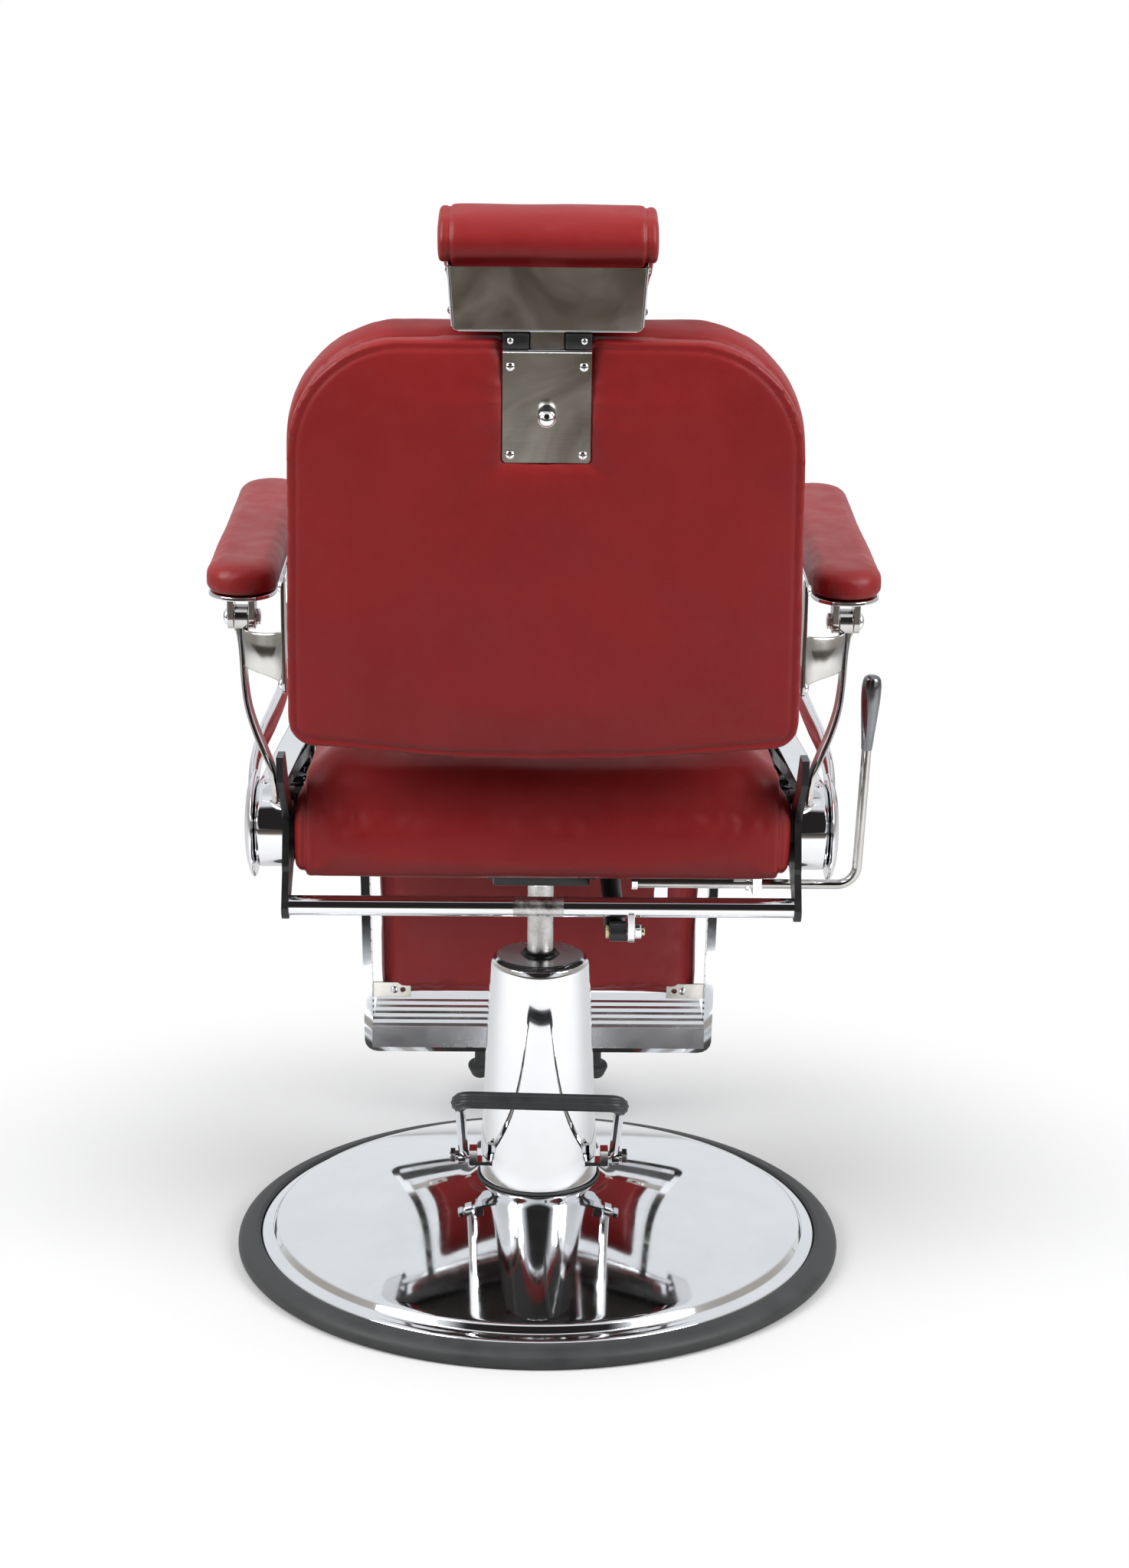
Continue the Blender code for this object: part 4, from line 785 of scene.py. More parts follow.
def back_outline(grow=0.0):
    """The back's outline in its own plane, as in the CAD but finer."""
    half = BACK_HALF_WIDTH + grow
    top = BACK_HEIGHT + grow
    big = 0.115 + grow
    small = 0.026 + grow
    right = [
        (0.10, 0.0025 - grow),
        *arc((half + 0.0035 - small, 0.0135 + small - grow), small, -70, 0, 7),
        (half + 0.0015, 0.150),
        *arc((half - 0.003 - big, top - big), big, 0, 86, 14),
        (0.060, top),
    ]
    return [(0.0, -grow), *right, *[(-x, y) for x, y in reversed(right)]]


def resampled(points, pitch):
    """The closed outline as points an even distance apart."""
    points = [Vector((*p, 0.0)) for p in points]
    points.append(points[0])
    made = []
    travelled = 0.0
    place = 0.0
    for a, b in zip(points, points[1:]):
        gap = (b - a).length
        while place < travelled + gap:
            made.append(a.lerp(b, (place - travelled) / gap))
            place += pitch
        travelled += gap
    return made


def edge_distance(places, outline):
    """How far each point lies inside an outline, both in the outline's plane."""
    points = np.array([[p.x, p.y] for p in outline])
    ends = np.roll(points, -1, axis=0)
    best = np.full(len(places), 1e9)
    for a, b in zip(points, ends):
        run = b - a
        share = np.clip(((places[:, :2] - a) @ run) / (run @ run), 0, 1)
        best = np.minimum(best, np.linalg.norm(places[:, :2] - (a + share[:, None] * run), axis=1))
    return best


def placed(points, matrix):
    matrix = np.array(matrix)
    return points @ matrix[:3, :3].T + matrix[:3, 3]


def local(points, matrix):
    return placed(points, matrix.inverted())


def make_back_panel():
    """The rear panel: thin padding under one sheet, sewn at its border and pulled in at the steel plate."""
    outline = resampled(back_outline(), 0.006)

    def sewn(places):
        return edge_distance(local(places, BACK_FRAME), outline) < 0.014

    obj = cushion_from("back_panel", 0.0004, 0.0040, 2.0, 0.003, smoothing=3, held=sewn)
    stitch_line = 0.0085

    def depth(places):
        own = local(places, BACK_FRAME)
        inside = edge_distance(own, outline)
        rear = np.clip((0.006 - own[:, 2]) / 0.006, 0, 1)
        x = np.abs(own[:, 0])
        y = own[:, 1]
        crown = -0.0040 * np.clip(inside / 0.060, 0, 1) ** 0.6
        seam = 0.0017 * dip(inside - stitch_line, 0.0026)
        beside = np.maximum(np.maximum(x - PLATE_HALF, PLATE_LOW - y), 0)
        sunk = 0.0058 * np.exp(-beside / 0.0075)
        pull = 0.0008 * np.exp(-beside / 0.034) * np.abs(np.sin(np.arctan2(y - 0.37, own[:, 0]) * 9.0))
        folds = ripple(places, 26.0, 0.0008) + ripple(places, 95.0, 0.00025, 5)
        return rear * (crown + seam + sunk + pull + folds)

    pressed(obj, depth)
    own = local(coordinates(obj), BACK_FRAME)
    covered = (np.abs(own[:, 0]) < PLATE_HALF + 0.001) & (own[:, 1] > PLATE_LOW - 0.001)
    own[covered, 2] = np.maximum(own[covered, 2], 0.0006)
    set_coordinates(obj, placed(own, BACK_FRAME))
    done(obj, LEATHER, "back", ("back_panel",), 60)
    rearward = BACK_FRAME.to_3x3() @ Vector((0, 0, 1))
    loop = inset(back_outline(), stitch_line)
    gap_at = [i for i, p in enumerate(loop) if abs(p.x) < PLATE_HALF + 0.003 and p.y > 0.3]
    start = max(gap_at) + 1
    loop = loop[start:] + loop[: min(gap_at)]
    stitches("back_panel_stitch", obj, [BACK_FRAME @ p for p in loop], rearward, "back")


def inset(outline, distance):
    """The outline drawn in by a distance, as evenly spaced points."""
    points = resampled(outline, 0.005)
    made = []
    for i, point in enumerate(points):
        run = (points[(i + 1) % len(points)] - points[i - 1]).normalized()
        made.append(point + Vector((-run.y, run.x, 0.0)) * distance)
    return made


# Depths of the back's cushion, forward of the back's own plane.
CUSHION_REAR = 0.0206
CUSHION_BOXED = 0.055
CUSHION_SEAM = 0.083


def make_back_cushion():
    """The thick front cushion, crowned at the front, with boxed sides next to the rear panel."""

    def boxed(places):
        return local(places, BACK_FRAME)[:, 2] < CUSHION_BOXED

    obj = cushion_from("back_cushion", 0.0006, 0.0055, 4.0, 0.006, smoothing=10, held=boxed)
    outline = resampled(back_outline(0.003), 0.006)

    def depth(places):
        own = local(places, BACK_FRAME)
        inside = edge_distance(own, outline)
        front = np.clip((own[:, 2] - 0.078) / 0.012, 0, 1)
        seam = 0.0018 * dip(own[:, 2] - CUSHION_SEAM, 0.0030) * (inside < 0.02)
        crown = -0.0070 * np.clip(inside / 0.110, 0, 1) ** 0.8 * front
        folds = ripple(places, 25.0, 0.0009, 2)
        return crown + seam + folds

    pressed(obj, depth)
    own = local(coordinates(obj), BACK_FRAME)
    own[:, 2] = np.maximum(own[:, 2], CUSHION_REAR)
    set_coordinates(obj, placed(own, BACK_FRAME))
    done(obj, LEATHER, "back", ("back_cushion",), 60)
    forward = BACK_FRAME.to_3x3() @ Vector((0, 0, -1))
    path = [BACK_FRAME @ (p + Vector((0, 0, 0.09))) for p in inset(back_outline(0.003), 0.024)]
    stitches("back_cushion_stitch", obj, [*path, path[0]], forward, "back")


# The tray's upper edge, up the back's own plane.
TRAY_EDGE = 0.508


def make_headrest_cushion():
    """The headrest's pillow, held in its tray, with a seam near each end."""

    def in_tray(places):
        return local(places, BACK_FRAME)[:, 1] < TRAY_EDGE

    obj = cushion_from("headrest_cushion", 0.0003, 0.0035, 2.0, 0.0022, smoothing=14, held=in_tray)
    seam = 0.0920

    def depth(places):
        own = local(places, BACK_FRAME)
        side = np.abs(np.abs(own[:, 0]) - seam)
        groove = 0.0020 * dip(side, 0.0022)
        ridge = -0.0012 * dip(np.abs(np.abs(own[:, 0]) - 0.0990), 0.0024)
        folds = ripple(places, 60.0, 0.0005, 1)
        return groove + ridge + folds

    pressed(obj, depth)
    done(obj, LEATHER, "headrest", ("headrest_cushion",), 60)
    rearward = BACK_FRAME.to_3x3() @ Vector((0, 0, 1))
    for name, side in SIDES:
        x = side * (seam - 0.0038)
        path = [BACK_FRAME @ Vector((x, 0.5075, 0.0)), BACK_FRAME @ Vector((x, 0.5560, 0.0))]
        stitches(f"headrest_stitch_{name}", obj, path, rearward, "headrest", 0.0040, 0.0026, 0.00035)


def make_arm_pads():
    """The armrests' pads, with faint folds."""
    for node in ("arm_pad_left", "arm_pad_right"):
        obj = cushion_from(node, 0.0004, 0.0030, 2.0, 0.0012, smoothing=4)
        pressed(obj, lambda places: ripple(places, 45.0, 0.0004, 4))
        done(obj, LEATHER, "back", (node,), 60)


def make_calf_pad():
    """The footrest's pad, tucked along the lower edge of its rear."""
    obj = cushion_from("footrest_pad", 0.003, 0.0050, 3.5, 0.006)

    def depth(places):
        own = local(places, FOOT_FRAME)
        rear = np.clip((0.004 - own[:, 2]) / 0.006, 0, 1)
        low = np.exp(-(own[:, 1] + 0.326) / 0.020)
        tucks = 0.0016 * low * np.abs(np.sin(own[:, 0] * 70.0 + np.sin(own[:, 0] * 23.0) * 2.0))
        return rear * (0.002 + tucks) + ripple(places, 30.0, 0.0009, 6)

    pressed(obj, depth)
    done(obj, LEATHER, "footrest", ("footrest_pad",), 60)


# ---------------------------------------------------------------- metal


DISH_TOP = 0.0766
DISH_CREST = 0.088
DISH_FLAT = 0.2985


def make_base():
    """The rubber ring, polished dish, pump cover, gasket and ram seal, all turned finely."""
    ring = [
        (0.3233, 0.0200), (0.3275, 0.0220), (0.340, 0.0205), (0.3485, 0.0145), (0.350, 0.0050),
        (0.345, 0.0), (0.306, 0.0), (0.306, 0.0035), (0.3233, 0.0035),
    ]
    made = turned("rubber_ring_finish", rounded(ring, 0.0045), closed=True, steps=180)
    done(made, RUBBER, "base", ("rubber_ring",), 50)
    lip = [(0.0667, 0.0800), (0.0680, 0.0816), (0.0760, 0.0803), (0.0820, 0.0784)]
    cone = []
    for i in range(36):
        reach = (DISH_FLAT - DISH_CREST) * i / 35
        height = DISH_TOP - 0.172 * reach - 0.155 * reach**2
        cone.append((DISH_CREST + reach, height))
    rim = [
        (0.3020, 0.0324), (0.3045, 0.0306), (0.3085, 0.0238), (0.3105, 0.0226), (0.3190, 0.0216),
        (0.3226, 0.0190), (0.3226, 0.0042),
    ]
    inner = [
        (0.3200, 0.0042), (0.3200, 0.0130), (0.3050, 0.0195), (0.298, 0.0285), (0.200, 0.0490),
        (0.090, 0.0720), (0.0667, 0.0780),
    ]
    outer = [*rounded(lip, 0.0030, 5), *cone, *rounded(rim, 0.0022, 5)]
    made = turned("base_dish_finish", [*outer, *inner], closed=True, steps=200)
    done(made, CHROME, "base", ("base_dish",), 40)
    cover = [
        (0.0216, 0.3480), (0.0216, 0.3495), (0.0500, 0.3490), (0.0555, 0.3455), (0.0570, 0.3390),
        (0.0684, 0.0840),
    ]
    inside = [(0.0667, 0.0840), (0.0552, 0.3390), (0.0510, 0.3452), (0.0216, 0.3466)]
    made = turned("pump_cover_finish", [*rounded(cover, 0.0040, 6), *inside], closed=True, steps=120)
    disc = [(0.0218, 0.3489), (0.0218, 0.3499), (0.0490, 0.3495), (0.0505, 0.3486)]
    done(turned("cover_top", disc, closed=True, steps=120), EXTRUSION, "base", (), 30)
    slot = bevel(box("slot", (-0.09, 0.0190, 0.1052), (0.09, 0.0410, 0.1113)), 0.0008, 2)
    made = cut(made, slot)
    done(made, CHROME, "base", ("pump_cover",), 40)
    gasket = [(0.0694, 0.0820), (0.0694, 0.0842), (0.0706, 0.0844), (0.0714, 0.0836), (0.0714, 0.0820)]
    made = turned("gasket_finish", gasket, closed=True, steps=96)
    done(made, RUBBER, "base", ("cover_gasket",), 50)
    lip = [(0.0157, 0.3543), (0.0178, 0.3545), (0.0203, 0.3520), (0.0211, 0.3500)]
    made = turned("ram_seal_finish", [*lip, (0.0211, 0.3310), (0.0157, 0.3310)], closed=True, steps=64)
    done(made, BLACK, "base", ("ram_wiper",), 50)
    refined("base_plate", BLACK, 0.0010)
    refined("pump_body", BLACK, 0.0)
    refined("pedal_yoke", CHROME, 0.0008)


def make_pedal():
    """The bent rod, its flat eyes with bolts, and the ribbed rubber sleeve."""
    refined("pedal_bail", CHROME, 0.0)
    pivot = Vector(JOINTS["pedal_pump"]["pos_m"])
    for name, side in SIDES:
        x = side * 0.1010
        head = rod(f"bolt_{name}", (x, *pivot.yz), (x + side * 0.0016, *pivot.yz), 0.0062, 0.0045)
        done(head, CHROME, "base")
    make_sleeve(pivot)


def make_sleeve(pivot):
    """Twelve lengthwise ribs round a soft tube that follows the bar and turns down at each end."""
    bar = Vector((0.0, 0.222, 0.254))
    skew = 0.022
    half = 0.0865

    def point(side, share):
        place = pivot.lerp(bar, share)
        x = side * half
        return Vector((x, place.y, place.z + skew * x * share))

    corners = [point(1, 0.905), point(1, 1.0), point(-1, 1.0), point(-1, 0.905)]
    path = round_corners(corners, 0.0125, 9)
    path = [p for i, p in enumerate(path) if i == 0 or (p - path[i - 1]).length > 1e-5]
    long = []
    for a, b in zip(path, path[1:]):
        steps = max(1, int((b - a).length / 0.004))
        long += [a.lerp(b, i / steps) for i in range(steps)]
    long.append(path[-1])
    flat = (bar - pivot).normalized()
    rings = []
    count = 72
    for i, (centre, ahead, _) in enumerate(stations_of(long)):
        run = ahead.normalized()
        normal = Vector((1, 0, 0)).cross(flat).normalized()
        side = run.cross(normal).normalized()
        ends = min(i, len(long) - 1 - i)
        size = 0.0096 * (1 - 0.18 * math.exp(-ends / 1.2))
        ring = []
        for k in range(count):
            angle = 2 * math.pi * k / count
            radius = size * (1 + 0.045 * math.cos(angle * 12))
            ring.append(centre + normal * math.sin(angle) * radius * 0.94 + side * math.cos(angle) * radius)
        rings.append(ring)
    made = loft("pedal_sleeve_finish", rings)
    done(made, SLEEVE, "pedal", ("pedal_sleeve",), 70)


RAM_RADIUS = 0.0150


def make_ram():
    """The plated ram with its collar and bright ring, and what it carries under the seat."""
    low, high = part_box("ram")
    made = rod("ram_finish", (0, 0, low.z), (0, 0, high.z), RAM_RADIUS, sides=72)
    done(bevel(made, 0.0006), RUBBED, "seat", ("ram",))
    low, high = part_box("ram_hub")
    top = high.z
    profile = [
        (0.0154, top - 0.0002), (0.0228, top - 0.0002), (0.0213, low.z + 0.0090), (0.0184, low.z + 0.0045),
        (0.0184, low.z + 0.0020), (0.0154, low.z + 0.0020),
    ]
    made = turned("ram_hub_finish", rounded(profile, 0.0012, 4), closed=True, steps=72)
    done(made, BLACK, "seat", ("ram_hub",), 50)
    ring = [(0.0151, 0.0019), (0.0176, 0.0017), (0.0176, -0.0026), (0.0151, -0.0028)]
    ring = [(radius, low.z + height) for radius, height in ring]
    made = turned("ram_ring", rounded(ring, 0.0008, 4), closed=True, steps=64)
    done(made, CHROME, "seat")
    refined("mount_plate", BLACK, 0.0)
    refined("frame_beam", BLACK, 0.0)
    refined("frame_cross_front", BLACK, 0.0)
    refined("frame_cross_rear", BLACK, 0.0)
    refined("seat_board", WOOD, 0.0)
    refined("lever_bracket", CHROME, 0.0006)
    refined("lock_bracket", BLACK, 0.0006)
    refined("lift_piston", STEEL, 0.0)


BOX_INNER = 0.2727
BOX_OUTER = 0.3035
BOX_WALL = 0.0025
BOX_RADIUS = 0.046
BOX_EASE = 0.0060
AXLE_RADIUS = 0.0095


def box_outline(inset):
    """The side housing's outline along Y and Z, drawn in by the wall's thickness."""
    rear = arc(PIVOT.yz, BOX_RADIUS - inset, 90, -90, 41)
    front = arc((-0.245, 0.522), 0.044 - inset, 270, 90, 33)
    return [*rear, (0.085, 0.478 + inset), *front]


def make_side_boxes():
    """Polished housings with a rounded outer edge, and the link bars inside."""
    for name, side in SIDES:
        middle = side_plane(side * (BOX_OUTER + BOX_INNER) / 2)
        shell = plate(f"side_box_{name}_finish", [box_outline(0.0)], BOX_OUTER - BOX_INNER, middle)
        shell = rounded_outer_edge(shell, side)
        depth = BOX_OUTER - BOX_WALL - BOX_INNER + 0.02
        inside = side_plane(side * (BOX_OUTER - BOX_WALL - depth / 2))
        hollow = plate("hollow", [box_outline(BOX_WALL)], depth, inside)
        shell = cut(shell, hollow)
        for centre in (PIVOT.yz, FOOT_HINGE.yz):
            boss = rod("boss", (side * 0.2870, *centre), (side * (BOX_OUTER - 0.001), *centre), 0.0160)
            shell = union(shell, boss)
        bore = rod("bore", (side * 0.27, *PIVOT.yz), (side * 0.31, *PIVOT.yz), AXLE_RADIUS + 0.0006)
        socket = rod("socket", (side * 0.27, *FOOT_HINGE.yz), (side * 0.2945, *FOOT_HINGE.yz), 0.0095)
        done(cut(shell, bore, socket), CHROME, "seat", (f"side_box_{name}",), 30)
        refined(f"link_{name}", BLACK, 0.0005)


def rounded_outer_edge(shell, side):
    """Rounds the rim of a housing's outer face."""

    def round_rim(bm):
        edges = [e for e in bm.edges if len(e.link_faces) == 2]
        rim = [e for e in edges if all(v.co.x * side > BOX_OUTER - 0.0005 for v in e.verts)]
        shape = {"offset": BOX_EASE, "segments": 6, "profile": 0.5}
        bmesh.ops.bevel(bm, geom=rim, affect="EDGES", clamp_overlap=False, **shape)

    edited(shell.data, round_rim)
    return shell


def make_swept_arms():
    """The domed disc and the polished arm that sweeps up to the armrest, with its foot screwed on."""
    path = smooth_path(
        [
            (0.3095, 0.150, 0.570), (0.3095, 0.122, 0.597), (0.3045, 0.085, 0.620), (0.2970, 0.040, 0.636),
            (0.2905, -0.010, 0.653), (0.2870, -0.060, 0.682), (0.2890, -0.096, 0.725),
            (0.2930, -0.115, 0.775), (0.2960, -0.120, 0.8380),
        ],
        8,
    )
    face = BOX_OUTER + 0.0004
    apex = 0.3158
    dome = [
        (0.0, apex), (0.022, apex - 0.0006), (0.042, apex - 0.0030), (0.0545, apex - 0.0070),
        (0.0580, face + 0.0018), (0.0560, face), (AXLE_RADIUS, face), (AXLE_RADIUS, 0.2650), (0.0, 0.2650),
    ]
    for name, side in SIDES:
        turn = Matrix.Translation((0, *PIVOT.yz)) @ Matrix.Rotation(side * math.pi / 2, 4, "Y")
        disc = turned(f"pivot_disc_{name}", rounded(dome, 0.0030, 5), closed=False, matrix=turn, steps=96)
        done(disc, CHROME, "back", (), 40)
        rings = []
        for place, ahead, share in stations_of(path):
            across = Vector((0, -ahead.z, ahead.y)).normalized()
            halves = (0.0175 - 0.005 * share, 0.0050)
            rings.append(flat_ring(place, (across, Vector((1, 0, 0))), halves, (0.55, 0.75), 28, side))
        sweep = loft(f"swept_arm_{name}_finish", rings)
        done(sweep, CHROME, "back", (f"swept_arm_{name}",), 60)
        near, far = sorted((side * 0.2890, side * 0.3250))
        foot = box(f"arm_foot_{name}", (near, -0.145, 0.8030), (far, -0.095, 0.8075), arm_slope())
        done(bevel(foot, 0.0012), CHROME, "back")


ARM_PIVOT = Vector((0.0, 0.248, 0.787))
ARM_X = 0.307
ARM_SLOPE = 0.0945
LUG_RADIUS = 0.0125


def arm_slope():
    """The shear that tilts level shapes to the armrests' slope, about the pivot."""
    shear = Matrix.Translation((0, 0, ARM_SLOPE * ARM_PIVOT.y))
    shear[2][1] = -ARM_SLOPE
    return shear


def make_rear_brackets():
    """The castings behind the armrests: lug, curved strip, wide curved band and its foot on the back."""
    strip_path = smooth_path(
        [
            (0.3070, 0.2480, 0.7765), (0.3068, 0.2485, 0.7600), (0.3050, 0.2520, 0.7250),
            (0.3010, 0.2580, 0.6970), (0.2930, 0.2640, 0.6720), (0.2835, 0.2680, 0.6500),
            (0.2770, 0.2690, 0.6320), (0.2750, 0.2660, 0.6130), (0.2750, 0.2560, 0.5960),
        ],
        8,
    )
    band_path = smooth_path(
        [
            (0.3060, 0.2430, 0.0), (0.3050, 0.2570, 0.0), (0.3000, 0.2680, 0.0), (0.2900, 0.2760, 0.0),
            (0.2780, 0.2810, 0.0), (0.2680, 0.2860, 0.0), (0.2610, 0.2940, 0.0), (0.2596, 0.3060, 0.0),
        ],
        6,
    )
    lug_outline = [*arc(ARM_PIVOT.yz, LUG_RADIUS, 200, -20, 41), (0.2590, 0.7740), (0.2370, 0.7740)]
    foot_outline = arc((0.3060, 0.7330), LUG_RADIUS, 180, 360, 21)
    foot_outline += arc((0.3060, 0.8270), LUG_RADIUS, 0, 180, 21)
    for name, side in SIDES:
        outlines = [lug_outline, circle(ARM_PIVOT.yz, 0.0058)]
        lug = plate(f"bracket_lug_{name}", outlines, 0.0138, side_plane(side * ARM_X))
        done(bevel(lug, 0.0014, 3), CAST, "back")
        rings = []
        for place, ahead, share in stations_of(strip_path):
            outward = Vector((ahead.z, 0, -ahead.x)).normalized()
            wide = 0.0115 + 0.003 * math.sin(math.pi * share)
            deep = 0.0030 + 0.0042 * max(0.0, 1 - share / 0.2) ** 1.5
            rings.append(flat_ring(place, (Vector((0, 1, 0)), outward), (wide, deep), (0.35, 0.45), 20, side))
        strip = loft(f"rear_bracket_{name}_finish", rings)
        done(strip, CAST, "back", (f"rear_bracket_{name}",), 60)
        rings = []
        for centre, ahead, share in stations_of(band_path):
            outward = Vector((ahead.y, -ahead.x, 0)).normalized()
            waist = math.sin(math.pi * share)
            low = 0.7420 - 0.0210 * share + 0.0020 * waist
            high = 0.7800 + 0.0040 * share - 0.0060 * waist
            ring = []
            for v, z in band_section(low, high):
                place = centre + outward * v
                ring.append(mirrored((place.x, place.y, z), side))
            rings.append(ring)
        done(loft(f"bracket_band_{name}", rings), CAST, "back", (), 50)
        foot = plate(f"bracket_foot_{name}", [foot_outline], 0.0034, side_plane(side * 0.2596))
        done(bevel(foot, 0.0008, 2), CAST, "back")
        refined(f"side_plate_{name}", BLACK, 0.0010)
        make_arm_plate(name, side)
        make_arm_bolt(name, side)
    make_crossbar()


BAND_HALF = 0.0017


def band_section(low, high):
    """A thin upright section with rounded upper and lower edges."""
    upper = arc((0.0, high - BAND_HALF), BAND_HALF, 0, 180, 5)
    return upper + arc((0.0, low + BAND_HALF), BAND_HALF, 180, 360, 5)


def turns(start, end, count):
    return [math.radians(start + (end - start) * i / (count - 1)) for i in range(count)]


ARM_REAR = 0.275
ARM_FRONT = -0.130
ARM_HALF_WIDTH = 0.0375
ARM_PAD_BOTTOM = 0.8125
ARM_PLATE = 0.0042


def arm_outline(half, rear, front):
    return [
        *arc((0.0, rear - half), half, 0, 180, 41),
        *arc((0.0, front + half * 0.8), half, 180, 360, 33),
    ]


def make_arm_plate(name, side):
    """The steel plate under an armrest's pad, with two ears for the bolt."""
    x = side * ARM_X
    lift = Matrix.Translation((x, 0, 0)) @ arm_slope()
    middle = Matrix.Translation((0, 0, ARM_PAD_BOTTOM - 0.0003 - ARM_PLATE / 2))
    outline = arm_outline(ARM_HALF_WIDTH - 0.003, ARM_REAR - 0.004, ARM_FRONT + 0.01)
    base = plate(f"arm_plate_{name}_finish", [outline], ARM_PLATE, lift @ middle)
    done(bevel(base, 0.0011, 3), CHROME, "back", (f"arm_plate_{name}",))
    ear = [
        (0.2620, 0.8095), (0.2340, 0.8095), (0.2355, 0.7870),
        *arc(ARM_PIVOT.yz, LUG_RADIUS, 180, 360, 41)[1:-1],
        (0.2605, 0.7870),
    ]
    for part, out in (("in", -1), ("out", 1)):
        made = plate(f"arm_ear_{part}_{name}", [ear], 0.0065, side_plane(x + out * (0.0075 + 0.00325)))
        done(bevel(made, 0.0010, 3), CAST, "back")


def make_arm_bolt(name, side):
    """The bolt across the ears: a round head outside, a hexagon nut and washer inside."""
    x = side * ARM_X
    y, z = ARM_PIVOT.yz
    face = 0.0144
    inner = x - side * face
    shank = rod(f"arm_bolt_{name}_finish", (inner - side * 0.0048, y, z), (x + side * face, y, z), 0.0050)
    done(bevel(shank, 0.0006, 2), CHROME, "back", (f"arm_bolt_{name}",))
    screws(f"arm_bolt_head_{name}", [((x + side * face, y, z), (side, 0, 0))], "back", 0.0084, 0.55)
    for kind, near, far, radius, sides, width in (
        ("nut", 0.0010, 0.0042, 0.0084, 6, 0.0007), ("washer", 0.0, 0.0010, 0.0088, 48, 0.0003)
    ):
        ends = [(inner - side * reach, y, z) for reach in (near, far)]
        made = rod(f"arm_{kind}_{name}", *ends, radius, sides=sides)
        done(bevel(made, width, 2), CHROME, "back")


CROSSBAR = Vector((0.0, 0.240, 0.4785))
CROSSBAR_RADIUS = 0.0105


def make_crossbar():
    """The bar behind the seat, scuffed in the middle, with the lock's lug, bolt, nuts and cylinder."""
    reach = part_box("crossbar")[1].x
    for name, start, end, material in (
        ("crossbar_finish", -reach, -0.0230, CHROME),
        ("crossbar_middle", -0.0230, 0.0300, RUBBED),
        ("crossbar_far", 0.0300, reach, CHROME),
    ):
        ends = [CROSSBAR + Vector((x, 0, 0)) for x in (start, end)]
        made = rod(name, *ends, CROSSBAR_RADIUS, sides=72)
        done(made, material, "back", ("crossbar",) if name == "crossbar_finish" else ())
    rear = JOINTS["lock_swing"]["pos_m"]
    eye = (rear[1], rear[2])
    round_eye = arc(eye, 0.0115, 180, 360, 33)[1:-1]
    lug = [(0.251, 0.474), (0.229, 0.474), (0.2285, 0.453), *round_eye, (0.2515, 0.453)]
    made = plate("lock_lug", [lug, circle(eye, 0.0049)], 0.0070, side_plane(-0.094))
    done(bevel(made, 0.0010, 3), CHROME, "back")
    shank = rod("lock_bolt_finish", (-0.0690, *eye), (-0.1085, *eye), 0.0045)
    done(bevel(shank, 0.0006, 2), ZINC, "back", ("lock_bolt",))
    for name, start, end, material in (
        ("lock_head", -0.0674, -0.0711, ZINC), ("lock_nut", -0.0981, -0.1049, CHROME)
    ):
        made = rod(name, (start, *eye), (end, *eye), 0.0080, sides=6)
        done(bevel(made, 0.0008, 2), material, "back")
    refined("lock_cylinder", BLACK, 0.0006)
    refined("lock_rod", CHROME, 0.0)


